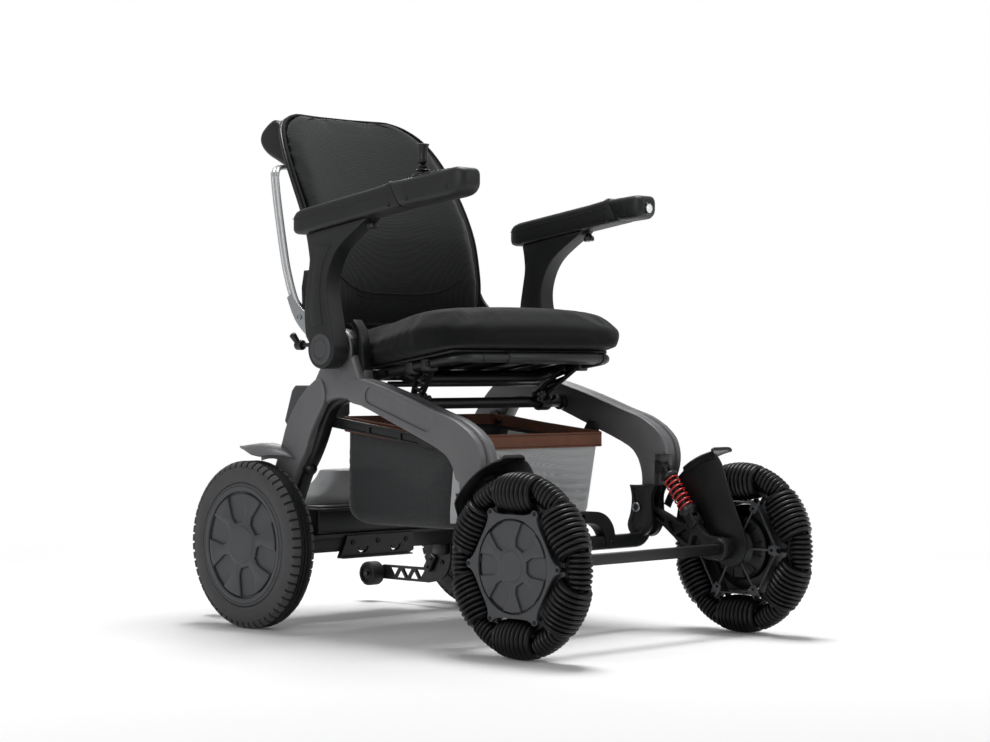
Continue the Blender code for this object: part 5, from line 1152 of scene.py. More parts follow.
# Its middle line: station, height and half width.
BACK_LINE = smooth_line(
    mm(
        "646 566 206, 647 600 212, 648 645 217, 654 690 218, 665 740 218, 686 790 217, 713 840 214, "
        "741 888 208, 766 926 196, 786 952 179, 800 970 152, 808 979.5 118"
    ),
    8,
)


def back_spot(share, rise, forward, inset=0.0):
    """A point of the backrest: across from -1 to 1, up from 0 to 1, and a distance in front.

    The distance counts from its middle surface, and the inset narrows its half width.
    """
    place = clamp(rise) * (len(BACK_LINE) - 1)
    low = min(int(place), len(BACK_LINE) - 2)
    row = BACK_LINE[low].lerp(BACK_LINE[low + 1], place - low)
    run = (BACK_LINE[low + 1] - BACK_LINE[low]).normalized()
    facing = Vector((0, -run.y, run.x)).normalized()
    bow = 0.030 * share**2 * row[2] / 0.214
    return at(share * (row[2] - inset), row[0] - bow, row[1]) + facing * forward


def make_back_pad():
    shape = gridded_cube(19)
    for vert in shape.verts:
        a, b, c = vert.co
        edge = max(abs(a), abs(b))
        thick = 0.0175 - 0.009 * max(0.0, (edge - 0.78) / 0.22) ** 2
        vert.co = back_spot(a, 0.012 + (b + 1) / 2 * 0.970, 0.0015 + (c + 1) / 2 * thick, 0.007)
    pad = plump("pad", shape, 0.006, 0.004, lambda co: False, 5)
    padded_piece("back_pad_cover", pad, BACK_CLOTH, "backrest", "back_pad")

    welt = bmesh.new()
    line = [(-1, r / 60) for r in range(1, 60)] + [(s / 10, 0.997) for s in range(-9, 10)]
    line += [(1, r / 60) for r in range(59, 0, -1)] + [(s / 10, 0.012) for s in range(9, -10, -1)]
    pipe(welt, [back_spot(share, rise, 0.006, 0.0035) for share, rise in line], 0.0034, 10, closed=True)
    piece("back_piping", welt, PIPING, "backrest", sharp=80)

    seams = bmesh.new()
    line = []
    for k in range(72):
        a, b = unit(5 * k)
        squircle = 1 / (abs(a) ** 5 + abs(b) ** 5) ** (1 / 5)
        line.append(back_spot(a * squircle * 0.74, 0.52 + b * squircle * 0.385, 0.0215, 0.006))
    pipe(seams, line, 0.0011, 6, closed=True)
    line = [back_spot(s / 20, 0.215 - 0.06 * (1 - (abs(s) / 15) ** 4), 0.0222, 0.006) for s in range(-15, 16)]
    pipe(seams, line, 0.0013, 6)
    piece("back_panel_seams", seams, PIPING, "backrest", sharp=80)


def make_back_shell():
    shell = bmesh.new()
    shares = [k / 16 for k in range(-16, 17)]
    forward = [-0.0008 + 0.006 * max(0.0, abs(share) - 0.94) / 0.06 for share in shares]
    loft(shell, [[back_spot(s, r / 48, f) for s, f in zip(shares, forward)] for r in range(49)])
    thicken(shell, 0.0052)
    line = [(-1, r / 60) for r in range(61)] + [(s / 10, 1.0) for s in range(-9, 10)]
    line += [(1, r / 60) for r in range(60, -1, -1)]
    pipe(shell, [back_spot(share, rise, 0.001, 0.0008) for share, rise in line], 0.0040, 10)
    wing = smooth_line(mm("628 672, 616 648, 602 625, 582 607, 562 599"), 3)
    wing += mm("562 590, 610 585, 650 590, 652 640, 645 672")
    for _, side in SIDES:
        flare = [back_spot(side, rise, -0.001, -0.001) for rise in (0.20, 0.14, 0.08, 0.02)]
        flare.append(back_spot(side, 0.0, -0.002, -0.001) + Vector((side * 0.001, 0.004, -0.010)))
        pipe(shell, smooth_line(flare, 4), [0.004 + 0.003 * i / 16 for i in range(17)], 10)
        panel(shell, side, [wing], 0.2125, 0.2185, 0.0015, 2)
    skirt = [at(x, 0.640 - 0.020 * (x / 0.2) ** 2, 0) for x in (-0.196, -0.15, -0.08, 0, 0.08, 0.15, 0.196)]
    steps = mm("6 580, 4 560, -2 545, -10 536")
    loft(shell, [[p + Vector((0, back, z)) for p in skirt] for back, z in steps])
    piece("back_rear_shell", shell, ABS_DARK, "backrest", "back_shell", 50)

    pod = bmesh.new()
    outline = smooth_line(
        mm("762 915, 757 890, 775 880, 806 893, 838 910, 854.5 930, 853 948, 838 963, 815 974, 795 965"), 4
    )
    slab(pod, [outline], -0.156, 0.156, 0.014, 4)
    seam = [at(k / 12 * 0.128, 0.8525 - 0.004 * (k / 12) ** 4, 0.936) for k in range(-12, 13)]
    pipe(pod, seam, 0.0022, 8)
    piece("headrest_grip_pod", pod, ABS_DARK, "backrest", sharp=40)


HOOP_HALF = 0.2290


def make_hoop():
    climb = mm("620 560, 638.5 583.5, 665 625, 684 678, 696.5 735, 708.5 795, 716 840, 718 864")
    hoop = bmesh.new()
    for inward, ahead, radius in mm("0 -5.2 4.7, 0 5 4.7, 3.5 0 4"):
        path = [at(-(HOOP_HALF - inward), s + ahead, z) for s, z in climb]
        path += [at(-0.196, 0.7400 + ahead, 0.8745), at(0.196, 0.7400 + ahead, 0.8745)]
        path += [at(HOOP_HALF - inward, s + ahead, z) for s, z in climb[::-1]]
        pipe(hoop, rounded_path(path, 0.020, 5), radius, 12)
    piece("hoop_tubes", hoop, HOOP_GREY, "backrest", "back_hoop")

    clips = bmesh.new()
    for x in (-0.090, 0.090):
        block(clips, at(x, 0.7475, 0.8800), (0.018, 0.022, 0.026), 0.003)
    piece("hoop_clips", clips, ABS_DARK, "backrest")

    plates = bmesh.new()
    outline = arc(PIVOT, 0.0225, 110, 290, 16)
    outline += smooth_line(mm("540 508, 572 524, 618 547, 654 579, 677 621"), 3)
    outline += smooth_line(mm("664 629, 634 600, 592 577, 552 563, 518 553"), 3)
    for _, side in SIDES:
        panel(plates, side, [outline], 0.2224, 0.2342, 0.0022)
        panel(plates, side, [arc(PIVOT, 0.0150, 0, 360, 24)[:-1]], 0.2335, 0.2352, 0.0006, 2)
        bolt(plates, at(side * 0.2340, 0.640, 0.583), X_AXIS * side, 0.0058, 0.003)
    piece("recline_plates", plates, STEEL, "backrest", slot="light_grey")


# The arms

REST_HALF, REST_DEPTH = 0.0278, 0.046
# The station of the seam between an armrest and its pod.
POD_SEAM = 0.280


def rest_low(distance):
    """Height of an armrest's underside at a station."""
    return 0.729 + (0.573 - distance) * 0.1397


def arm_loft(shape, side, stations):
    """Adds a form with rounded sections: each row is (station, half width, low, high, corner, lean)."""
    rows = []
    for distance, half, low, high, corner, lean in stations:
        deep = (high - low) / 2
        section = rounded_section(half, deep, min(corner, half * 0.98, (high - low) * 0.49), 4)
        row = []
        for u, v in section:
            z = (low + high) / 2 + v
            row.append(at(side * ARM_X + u, distance + lean * (z - low) / max(high - low, 0.001), z))
        rows.append(row)
    loft(shape, rows, closed=True, caps=True)


def add_plugs(name, body, side, spots):
    """A piece with dark oval screw recesses on both sides of an armrest, at stations and heights."""
    shape = bmesh.new()
    for distance, up in spots:
        for across in (-1, 1):
            spot = at(side * ARM_X + across * 0.0279, distance, rest_low(distance) + up)
            first = len(shape.verts)
            turned(shape, mm("0 -0.8, 2 -0.8, 2.8 0.3, 3.6 0.2, 3.6 -2"), spot, X_AXIS * across, 20)
            shape.verts.ensure_lookup_table()
            for vert in shape.verts[first:]:
                vert.co.z = spot.z + (vert.co.z - spot.z) * 1.45
    piece(name, shape, GLOSS_BLACK, body)


def make_arm(tag, side):
    body = f"arm_{tag}"
    inner, outer = FRAME_OUTER + 0.0003, FRAME_OUTER + 0.0383
    front = smooth_line(mm("473.5 560, 482 594, 488 622, 486.5 650, 475 680, 456 704, 423 727, 376 754"), 4)
    rear = smooth_line(mm("540 730, 536 710, 534 683, 540 648, 546 615, 548 580, 544 545"), 4)
    front[-1] = Vector((0.378, rest_low(0.378) - 0.0003))
    rear[0] = Vector((0.540, rest_low(0.540) - 0.0003))
    post = bmesh.new()
    panel(post, side, [arc(PIVOT, 0.036, 20, -200, 28) + front + rear], inner + 0.0004, outer, 0.0040)
    inset = smooth_line(mm("496 566, 501 594, 503.5 622, 501 652, 491 684, 472 712"), 4)
    inset += smooth_line(mm("520 712, 519 684, 525 650, 531 616, 531 585, 525 562"), 4)
    panel(post, side, [inset], outer - 0.0005, outer + 0.0010, 0.0009, 2)
    piece(f"arm_post_shell_{tag}", post, ABS_BLACK, body, f"arm_post_{tag}")

    cap = bmesh.new()
    profile = mm("0 1.6, 17 1.6, 17.8 0.6, 18.6 0.6, 19.6 1.8, 26.2 1.8, 28.2 0.4, 28.2 -4, 0 -4")
    turned(cap, profile, at(side * outer, *PIVOT), X_AXIS * side, 48)
    piece(f"arm_pivot_cap_{tag}", cap, HUB_GREY, body, slot="black_plastic")

    make_rest(tag, side, body)

    screw = bmesh.new()
    foot = at(side * ARM_X, 0.380, rest_low(0.380))
    normal = Vector((0, 0.138, 0.990)).normalized()
    profile = mm("0 -20, 7 -20, 9.4 -18.5, 9.6 -15, 8.6 -11.5, 6 -7.5, 4.8 -6, 3 -5, 3 12.5, 0 13")
    turned(screw, profile, foot, normal, 20)
    flute = mirrored(mm("0 4.6, 1.1 4.2, 1.3 3"))
    for k in range(8):
        cos, sin = unit(45 * k)
        across = X_AXIS * cos + normal.cross(X_AXIS) * sin
        turned(screw, flute, foot - normal * 0.0158 + across * 0.0090, normal, 8)
    piece(f"height_screw_{tag}", screw, ABS_DARK, f"thumb_screw_{tag}", f"thumb_screw_{tag}")

    lever = bmesh.new()
    elbow = at(side * ARM_X, 0.580, 0.530)
    pipe(lever, [at(side * ARM_X, 0.531, 0.530), elbow], 0.0039, 14)
    turned(lever, mm("0 -10.5, 8 -10.5, 9.4 -9, 9.4 4.5, 8 6.2, 0 6.2"), elbow, Y_AXIS, 24)
    tip = elbow + Vector((side * 0.013, 0.006, 0.021))
    grip = [elbow.lerp(tip, t) for t in (0, 0.2, 0.6, 0.9, 1.0)]
    pipe(lever, grip, [0.0050, 0.0052, 0.0062, 0.0068, 0.0040], 14)
    piece(f"clamp_lever_{tag}", lever, ABS_DARK, f"release_lever_{tag}", f"release_lever_{tag}")


def make_rest(tag, side, body):
    rest = bmesh.new()
    stations = []
    ends = mm("572.5 16, 571.5 10, 568 5.5, 560 2, 545 0, 500 0, 430 0, 360 0, 310 0, 284 0, 281.2 0.8")
    for distance, shrink in ends:
        low = rest_low(distance) + shrink * 0.8
        high = rest_low(distance) + REST_DEPTH - shrink
        lean = 0.026 * clamp((0.324 - distance) / 0.040)
        stations.append((distance, REST_HALF - shrink * 0.7, low, high, 0.009, lean))
    arm_loft(rest, side, stations)
    piece(f"armrest_pad_{tag}", rest, ABS_BLACK, body, f"armrest_{tag}", 30)

    trim = bmesh.new()
    for across in (-1, 1):
        path = []
        for distance in (0.566, 0.540, 0.480, 0.420, 0.360, 0.304):
            path.append(at(side * ARM_X + across * 0.0277, distance, rest_low(distance) + 0.0305))
        pipe(trim, smooth_line(path, 3), 0.0009, 6)
    piece(f"armrest_parting_{tag}", trim, ABS_DARK, body, sharp=80)
    add_plugs(f"armrest_plugs_{tag}", body, side, [(0.307, 0.0090)])


def pod_high(distance):
    """Height of a pod's top at a station."""
    return rest_low(0.329) + REST_DEPTH + (0.329 - distance) * 0.1228


def pod_rows(nose, low_at, high_at, nose_length):
    """Rows of a pod from its seam to its rounded nose: station, half width, low, high, corner, lean."""
    rows = []
    seam = POD_SEAM
    for distance in (seam, seam - 0.0020, seam - 0.020, (seam + nose) / 2 + 0.01, nose + nose_length + 0.012):
        lean = 0.026 * clamp((distance - seam + 0.040) / 0.040)
        shrink = 0.0008 if distance == seam else 0.0
        rows.append(
            (distance, REST_HALF - shrink, low_at(distance) + shrink, high_at(distance) - shrink, 0.010, lean)
        )
    steps = 8
    for k in range(steps + 1):
        angle = math.pi / 2 * k / steps
        distance = nose + nose_length * (1 - math.sin(angle))
        round_off = 1 - math.cos(angle)
        low, high = low_at(distance), high_at(distance)
        middle = (low + high) / 2 + 0.002
        share = 1 - 0.60 * round_off
        half = REST_HALF * (1 - 0.52 * round_off)
        low, high = middle + (low - middle) * share, middle + (high - middle) * share
        rows.append((distance, half, low, high, min(0.010, 0.9 * half, 0.45 * (high - low)), 0.0))
    return rows


def make_control_pod():
    def low_at(distance):
        return 0.7703 + (POD_SEAM - distance) * 0.090 + 0.10 * max(0.0, 0.160 - distance)

    pod = bmesh.new()
    arm_loft(pod, -1, pod_rows(0.1225, low_at, pod_high, 0.027))
    piece("controller_housing", pod, ABS_BLACK, "control_pod", "control_pod", 30)
    add_plugs("controller_plugs", "control_pod", -1, [(0.2605, 0.0110), (0.160, 0.0110)])

    top = bmesh.new()
    rows = []
    for distance, half in mm("292 16, 286 20.5, 240 22.2, 190 22.2, 160 20.5, 150 16"):
        drop = 0.0030 if distance < 0.155 else 0.0008 if distance < 0.165 else 0
        high = pod_high(distance) + 0.0013 - drop
        rows.append((distance, half, high - 0.004, high, 0.002, 0))
    arm_loft(top, -1, rows)
    piece("controller_panel", top, GLOSS_BLACK, "control_pod", sharp=40)

    centre = at(-ARM_X, 0.247, pod_high(0.247) - 0.012)
    collar = bmesh.new()
    turned(collar, mm("18.5 12.5, 20 15, 19 16.5, 16.5 17, 15 16, 15 12"), centre, Z_AXIS, 40)
    turned(collar, mm("12.5 8, 12.5 15, 17.5 15.2, 18.2 17, 17 18.8, 13 19.2, 12 18"), centre, Z_AXIS, 40)
    piece("joystick_bellows_base", collar, ROLLER_BLACK, "control_pod", "joystick_boot", 50)

    stick = bmesh.new()
    rings = mm(
        "3.4 -3, 3.4 22.5, 11.8 23.6, 12.8 25.2, 11.6 26.8, 7.2 27.2, 7 28.8, 9.6 29.4, 10.2 30.8, 9.4 32.2, "
        "6 32.6, 5.8 34, 4.2 35.2"
    )
    turned(stick, rings + [(0, 0.0352)], centre, Z_AXIS, 32)
    piece("joystick_bellows_top", stick, ROLLER_BLACK, "joystick_stick", sharp=50, slot="black_plastic")

    grip = bmesh.new()
    line = smooth_line(
        mm(
            "4.2 35, 9.4 39.5, 9.8 41.2, 8.6 44, 7.8 47.5, 7.6 53, 7.9 59, 9 65, 10.6 69, 11.2 70.5, "
            "10.3 71.2, 7 70.4, 0 70"
        ),
        2,
    )
    turned(grip, [(0, 0.0340)] + line, centre, Z_AXIS, 32)
    piece("joystick_grip", grip, ABS_DARK, "joystick_stick", "joystick_stick", 50)

    ring = bmesh.new()
    turned(ring, mm("10.5 3, 10.5 -3, 6.8 -3, 6.8 3, 10.5 3"), centre, Z_AXIS, 28)
    for way in (-1, 1):
        pipe(ring, [centre + X_AXIS * way * 0.009, centre + X_AXIS * way * 0.0136], 0.0015, 8)
    piece("gimbal_ring", ring, STEEL, "joystick_gimbal", "joystick_gimbal")

    button = bmesh.new()
    dome = mm("0 2.4, 4.5 2.6, 5.6 2, 6.2 0.8, 6.2 -1.4, 0 -1.4")
    turned(button, dome, at(-ARM_X, 0.185, pod_high(0.185)), Z_AXIS, 28)
    piece("power_button_cap", button, BOLT_BLACK, "power_button", "power_button")


def make_lamp_pod():
    def low_at(distance):
        return 0.7703 + (POD_SEAM - distance) * 0.075

    def high_at(distance):
        return pod_high(distance) - 0.0022

    pod = bmesh.new()
    arm_loft(pod, 1, pod_rows(0.2215, low_at, high_at, 0.022))
    piece("lamp_housing", pod, ABS_BLACK, "lamp_pod", "lamp_pod", 30)
    add_plugs("lamp_plugs", "lamp_pod", 1, [(0.2520, 0.0120)])

    lens, bezel = bmesh.new(), bmesh.new()
    middle = at(ARM_X, 0.2218, 0.7925)
    turned(lens, mm("0 2.8, 5.2 2.4, 8.8 1.2, 9.1 -3, 0 -3"), middle, -Y_AXIS, 32)
    piece("lamp_glass", lens, LENS_WHITE, "lamp_pod", "lamp_lens", 60)
    turned(bezel, mm("9.1 -3, 9.1 1.6, 10 2.6, 11.4 2, 12.2 0.2, 12.2 -3"), middle, -Y_AXIS, 36)
    piece("lamp_bezel", bezel, GLOSS_BLACK, "lamp_pod", sharp=50)


make_seat_cushion()
make_seat_frame()
make_back_pad()
make_back_shell()
make_hoop()
for tag, side in SIDES:
    make_arm(tag, side)
make_control_pod()
make_lamp_pod()


# The basket


def rim_height(distance):
    """Height of the basket's top edge at a station."""
    return 0.367 + (distance - 0.259) / 0.300 * 0.031


def basket_ring(front, rear, half, corner, height, across=66, along=50):
    """A ring of points around the basket, its height given by a function of the station."""
    points = []
    middle = (front + rear) / 2
    corners = rounded_section(half, (rear - front) / 2, corner, 4)
    counts = {4: across, 9: along, 14: across, 19: along}
    for k, (x, s) in enumerate(corners):
        next_x, next_s = corners[(k + 1) % len(corners)]
        steps = counts.get(k, 1)
        for i in range(steps):
            station = middle + s + (next_s - s) * i / steps
            points.append(at(x + (next_x - x) * i / steps, station, height(station)))
    return points


# Spacing and depth of the net's folds in front and of its sag on the sides.
FOLD_PITCH, FOLD_DEPTH = 0.0165, 0.0050
SAG_PITCH, SAG_DEPTH = 0.034, 0.0010
# A normal that leans forward or sideways by more than this belongs to the front or to a side.
FACES_OUT = 0.6


def ripple(net):
    """Gives the net its folds: small waves on its front, and a slight sag on its sides."""
    for vert in net.verts:
        x, y, z = vert.co
        hang = clamp((0.345 - z) / 0.02) * clamp((z - 0.215) / 0.03)
        if vert.normal.y < -FACES_OUT:
            shift = 0.9 * math.sin(7.0 * x + 0.6) + 0.12 * math.sin(19.0 * x)
            fold = math.sin(2 * math.pi * (z / FOLD_PITCH + shift))
            swell = 0.5 + 0.5 * math.sin(11.0 * x + 30.0 * z)
            fade = clamp((0.182 - abs(x)) / 0.05)
            vert.co.y -= hang * fade * FOLD_DEPTH * fold * (0.35 + 0.65 * swell)
        elif abs(vert.normal.x) > FACES_OUT:
            sag = math.sin(2 * math.pi * (z / SAG_PITCH + 0.5 * math.sin(9.0 * y)))
            vert.co.x += math.copysign(hang * SAG_DEPTH * sag, x)


def make_basket():
    band = bmesh.new()
    drops = (0.0275, 0.0262, 0.014, 0.0013, 0.0)
    rows = [basket_ring(0.2592, 0.5588, 0.1985, 0.012, lambda s, d=drop: rim_height(s) - d) for drop in drops]
    loft(band, rows, closed=True)
    thicken(band, 0.0028)
    band_piece = piece("basket_band", band, BAND_LEATHER, "chassis", "basket_rim", 40)

    thread = bmesh.new()
    for drop in (0.0035, 0.0240):
        line = basket_ring(0.2589, 0.5591, 0.1988, 0.0122, lambda s, d=drop: rim_height(s) - d)
        pipe(thread, line, 0.00045, 5, closed=True)
    piece("basket_stitching", thread, PIPING, "chassis", sharp=80, slot="brown_band")

    net = bmesh.new()
    floor, radius = 0.1965, 0.034
    rows = []
    for k in range(55):
        share = k / 54

        def height(s, share=share):
            top = rim_height(s) - 0.020
            return top + (floor + radius - top) * share

        front, rear = 0.2640 + 0.0125 * share, 0.5540 + 0.012 * share
        rows.append(basket_ring(front, rear, 0.1905, 0.014 + 0.018 * share, height))
    quarter = [math.pi / 2 * k / 9 for k in range(1, 10)]
    insets = [(radius * (1 - math.cos(turn)), radius * (1 - math.sin(turn))) for turn in quarter]
    for inset, lift in insets + mm("45 -0.8, 60 -1.6, 80 -2.4, 100 -2.8, 120 -3"):
        corner = max(0.002, 0.032 - inset * 0.3)
        level = floor + lift
        rows.append(basket_ring(0.2765 + inset, 0.5660 - inset, 0.1905 - inset, corner, lambda s, z=level: z))
    net.faces.new(loft(net, rows, closed=True))
    bmesh.ops.recalc_face_normals(net, faces=net.faces)
    ripple(net)
    for face in net.faces:
        face.material_index = 1 if face.normal.y < -FACES_OUT else 0
    area = sum(face.calc_area() for face in net.faces)
    bag = piece("basket_net_bag", net, [NET_DARK, NET_LIGHT], "chassis", "basket_net", 80)

    rails = bmesh.new()
    outline = mm(
        "286 346.5, 300 344.5, 330 350, 560 377.5, 572 379, 584 386, 584 401, 572 404, 560 397.5, 330 369.5, "
        "318 388, 302 386, 290 364"
    )
    pockets = []
    for low, high in mm("326 373, 380 457, 465 541"):
        under = [0.3535 + (s - 0.330) * 0.1200 for s in (low, high)]
        over = [z + 0.0110 for z in under]
        pockets.append([(low, under[0]), (high, under[1]), (high, over[1]), (low, over[0])])
    for _, side in SIDES:
        out = X_AXIS * side
        panel(rails, side, [outline, *pockets], 0.2188, 0.2217, 0.0007, 1)
        panel(rails, side, [outline], 0.2160, 0.2184, 0.0006, 1)
        for s, z, radius in mm("566 390.5 9.8, 298 354 6.8"):
            disc = [(0, -0.004), (radius, -0.004), (radius, 0.004), (radius * 0.9, 0.005), (0, 0.005)]
            turned(rails, disc, at(side * 0.2165, s, z), out, 28)
            bolt(rails, at(side * 0.2212, s, z), out, radius * 0.55)
        for s in (0.300, 0.540):
            block(rails, at(side * 0.2055, s, rim_height(s) - 0.014), (0.0240, 0.016, 0.010), 0.002)
    piece("basket_rails", rails, ABS_DARK, "chassis")


# The rear


def make_rear_beam():
    beam = bmesh.new()
    block(beam, at(0, 0.700, 0.1515), (0.4428, 0.040, 0.037), 0.003)
    block(beam, at(0, 0.6790, 0.1640), (0.4300, 0.004, 0.009), 0.0012, 1)
    half_holes = []
    for x in (-0.045, 0.040):
        half_holes.append(arc((x, 0.1440), 0.0150, 200, 350, 10) + arc((x, 0.1440), 0.0115, 350, 200, 10))
    outline = mm("-104 122, 76 122, 90 128, 90 164, -86 164, -90 150")
    slab(beam, [outline, *half_holes], 0.6715, 0.6815, 0.0008, 1, cross_plate)
    slab(beam, [mm("-104 120.5, 76 120.5, 76 123.5, -104 123.5")], 0.6600, 0.6800, place=cross_plate)
    for x in (-0.070, -0.005, 0.070):
        bolt(beam, at(x, 0.6718, 0.1500), -Y_AXIS, 0.0052, 0.003)

    # The lattice arms that carry the anti-tip wheels.
    windows = []
    for k in range(5):
        s = 0.7745 + 0.0200 * k
        high, low = (0.0725, 0.0545) if k % 2 == 0 else (0.0528, 0.0708)
        windows.append([(s, high), (s + 0.0255, high), (s + 0.0128, low)])
    outline = smooth_line(mm("700 138, 697 118, 698 96, 706 74, 726 56.5, 762 47.8"), 2)
    outline += arc(ANTI_TIP_AXLE, 0.0115, -100, 80, 10) + mm("898 77.5, 775 78.5, 758 104, 738 140")
    lean = Matrix.Rotation(math.radians(-58), 3, "X").to_quaternion()
    for _, side in SIDES:
        out = X_AXIS * side
        panel(beam, side, [outline, *windows], 0.2155, 0.2216, 0.0007, 1)
        for s, z in mm("722 92, 722 122"):
            bolt(beam, at(side * 0.2155, s, z), -out, 0.0050, 0.003)
        block(beam, at(side * 0.2060, 0.716, 0.1210), (0.018, 0.030, 0.024), 0.003)
        block(beam, at(side * 0.2125, 0.7520, 0.0900), (0.012, 0.036, 0.020), 0.003, turn=lean)
        for s, z in mm("746.5 99, 757.5 81"):
            bolt(beam, at(side * 0.2065, s, z), -out, 0.0040, 0.003)
        pipe(beam, [at(side * x, *ANTI_TIP_AXLE) for x in (0.1815, 0.2205)], 0.0049, 12)
        bolt(beam, at(side * 0.2214, *ANTI_TIP_AXLE), out, 0.0062, 0.0030)
    piece("rear_beam_and_anti_tip_arms", beam, BLACK_COAT, "chassis", "rear_axle_beam")

    profile = mirrored(mm("5.2 -12, 11 -12, 12.5 -10.5, 17.5 -10.5, 18.5 -14.5, 22.5 -15, 24.6 -12.5, 25 -9"))
    plug = mirrored(mm("0 11.5, 1.8 11.2, 2 10.4"))
    for tag, side in SIDES:
        wheel = bmesh.new()
        middle = at(side * 0.200, *ANTI_TIP_AXLE)
        turned(wheel, profile + [profile[0]], middle, X_AXIS, 40)
        for k in range(5):
            cos, sin = unit(72 * k)
            turned(wheel, plug, middle + Vector((0, 0.0145 * cos, 0.0145 * sin)), X_AXIS, 10)
        body = f"anti_tip_wheel_{tag}"
        piece(f"anti_tip_tyre_{tag}", wheel, TREAD_BLACK, body, body)


def make_rear_equipment():
    tray = bmesh.new()
    block(tray, at(0, 0.730, 0.1978), (0.340, 0.140, 0.0540), 0.007, 3)
    block(tray, at(0, 0.730, 0.2165), (0.346, 0.146, 0.0060), 0.002)
    piece("battery_case", tray, ABS_DARK, "chassis", "battery_tray")

    cover = bmesh.new()
    half = smooth_line(mm("159 225.6, 153.5 233, 142 241, 120 250, 101 260, 88.5 272, 80 286"), 4)
    rings = [(0.1565, 0.2246, 0.0470)] + [(p[0], p[1], 0.030 + 0.0195 * (p[0] - 0.080) / 0.079) for p in half]
    rows = []
    for wide, high, deep in rings + mm("78.5 287.8 28.6, 74 289 24"):
        section = rounded_section(wide, deep, min(0.014, deep * 0.6), 4)
        rows.append([at(x, 0.740 + s, high) for x, s in section])
    loft(cover, rows, closed=True, caps=True)
    piece("battery_cover", cover, ABS_LIGHT, "chassis", "rear_cover")

    case = bmesh.new()
    outline = mm("618 386, 694 378, 701.5 387, 680 446, 671 455, 604 455, 604 400")
    slab(case, [outline], -0.2215, -0.1352, 0.0075, 4)
    for height in (0.398, 0.408, 0.418, 0.428):
        distance = 0.7015 - (height - 0.387) * 0.364 - 0.0004
        block(case, at(-0.178, distance, height), (0.050, 0.0026, 0.0036), 0.001, 1)
    piece("charger_case", case, HUB_GREY, "chassis", "rear_case", slot="black_plastic")


make_basket()
make_rear_beam()
make_rear_equipment()


# The camera and the stage

FLOOR_GLOW = 0.03
WORLD_FILL = 0.18
MIRROR_SHARE = 0.45
# Between these distances from the middle of the floor its shade fades to white.
FADE_START, FADE_END = 0.9, 2.6


# The camera that was fitted to the photograph, its turn in degrees about the upright axis.
CAMERA_PLACE, CAMERA_TURN, CAMERA_LENS = (-3.0794, -3.1189, 0.4821), -45, 85


def make_camera():
    data = bpy.data.cameras.new("camera")
    data.lens = CAMERA_LENS
    data.sensor_width = 36
    data.clip_end = 50
    camera = placed("camera", data)
    camera.location = CAMERA_PLACE
    camera.rotation_euler = (math.radians(90), 0, math.radians(CAMERA_TURN))
    bpy.context.scene.camera = camera


def seen_directly(tree):
    """1 where the camera or a clear piece looks straight at the surface, and a share of it in a mirror."""
    rays = add(tree, "ShaderNodeLightPath").outputs
    share = add(tree, "ShaderNodeMath", {"operation": "MULTIPLY"}, i0=rays["Is Glossy Ray"], i1=MIRROR_SHARE)
    either = add(
        tree, "ShaderNodeMath", {"operation": "MAXIMUM"}, i0=rays["Is Camera Ray"], i1=share.outputs[0]
    )
    through = rays["Is Transmission Ray"]
    return add(tree, "ShaderNodeMath", {"operation": "MAXIMUM"}, i0=either.outputs[0], i1=through).outputs[0]


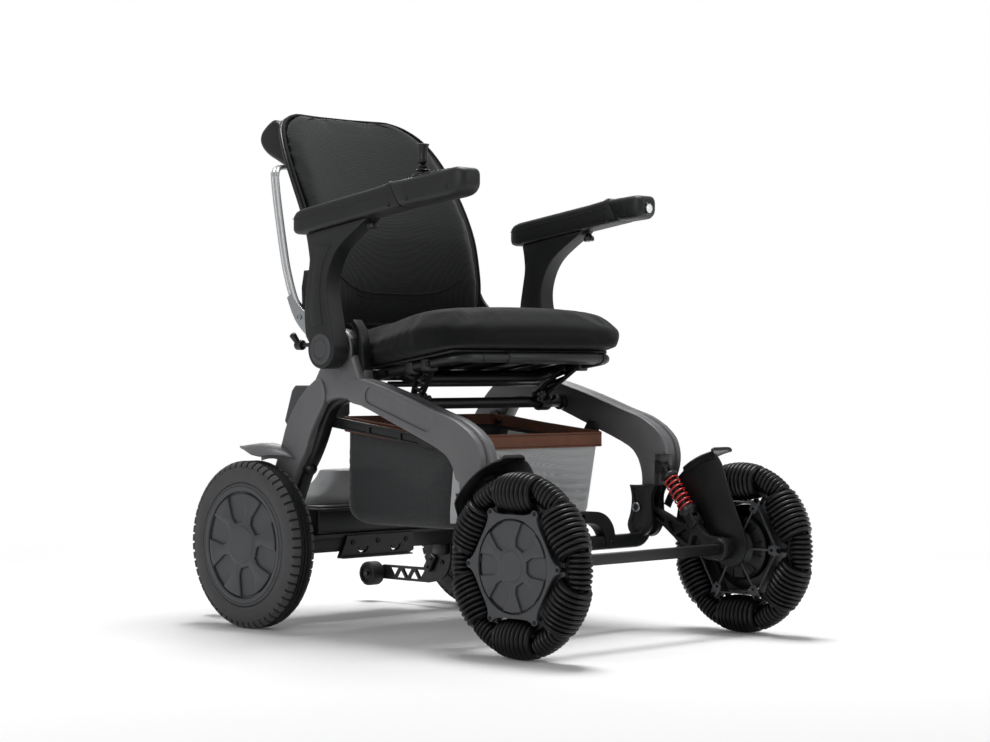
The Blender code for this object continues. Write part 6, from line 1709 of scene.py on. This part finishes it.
def make_stage():
    """A white floor that keeps a soft shadow, under a white surround."""
    white = linear("ffffff")
    look, tree, place = begin("white_studio_floor")
    paint = add(tree, "ShaderNodeBsdfDiffuse", Color=linear("f1f1f1"))
    seen = seen_directly(tree)
    strength = add(tree, "ShaderNodeMath", {"operation": "MULTIPLY"}, i0=seen, i1=FLOOR_GLOW).outputs[0]
    glow = add(tree, "ShaderNodeEmission", Color=white, Strength=strength)
    near = add(tree, "ShaderNodeAddShader", i0=paint.outputs[0], i1=glow.outputs[0])
    distance = add(tree, "ShaderNodeVectorMath", {"operation": "LENGTH"}, i0=place).outputs["Value"]
    smooth = {"interpolation_type": "SMOOTHSTEP"}
    fade = add(tree, "ShaderNodeMapRange", smooth, i0=distance, i1=FADE_START, i2=FADE_END, i3=0.0, i4=1.0)
    faded = add(tree, "ShaderNodeMath", {"operation": "MULTIPLY"}, i0=fade.outputs[0], i1=seen).outputs[0]
    far = add(tree, "ShaderNodeEmission", Color=white, Strength=1.0)
    both = add(tree, "ShaderNodeMixShader", i0=faded, i1=near.outputs[0], i2=far.outputs[0])
    add(tree, "ShaderNodeOutputMaterial", Surface=both.outputs[0])

    shape = bmesh.new()
    bmesh.ops.create_grid(shape, x_segments=1, y_segments=1, size=12)
    mesh = bpy.data.meshes.new("floor")
    shape.to_mesh(mesh)
    shape.free()
    mesh.materials.append(look)
    placed("floor", mesh)

    world = bpy.data.worlds.new("studio")
    bpy.context.scene.world = world
    world.use_nodes = True
    tree = world.node_tree
    tree.nodes.clear()
    strength = add(
        tree, "ShaderNodeMapRange", i0=seen_directly(tree), i1=0.0, i2=1.0, i3=WORLD_FILL, i4=1.0
    ).outputs[0]
    sky = add(tree, "ShaderNodeBackground", Color=white, Strength=strength)
    add(tree, "ShaderNodeOutputWorld", Surface=sky.outputs[0])


def make_lamp(name, place, aim, size, power):
    data = bpy.data.lights.new(name, "AREA")
    data.shape = "RECTANGLE"
    data.size, data.size_y = size
    data.energy = power
    lamp = placed(name, data)
    lamp.location = place
    lamp.rotation_euler = (Vector(aim) - Vector(place)).to_track_quat("-Z", "Y").to_euler()


make_camera()
make_stage()
make_lamp("overhead_softbox", (0.5, 0.3, 3.6), (0.1, 0, 0.4), (1.4, 1.4), 126)
make_lamp("left_front_softbox", (-3.4, -0.4, 1.9), (0, 0, 0.5), (1.4, 2.0), 30)
make_lamp("right_front_softbox", (1.6, -3.4, 2.0), (0, 0, 0.5), (1.2, 2.0), 18)
make_lamp("rear_rim_softbox", (2.4, 2.6, 2.4), (0, 0, 0.6), (1.6, 1.6), 36)
view = bpy.context.scene.view_settings
view.view_transform = "Standard"
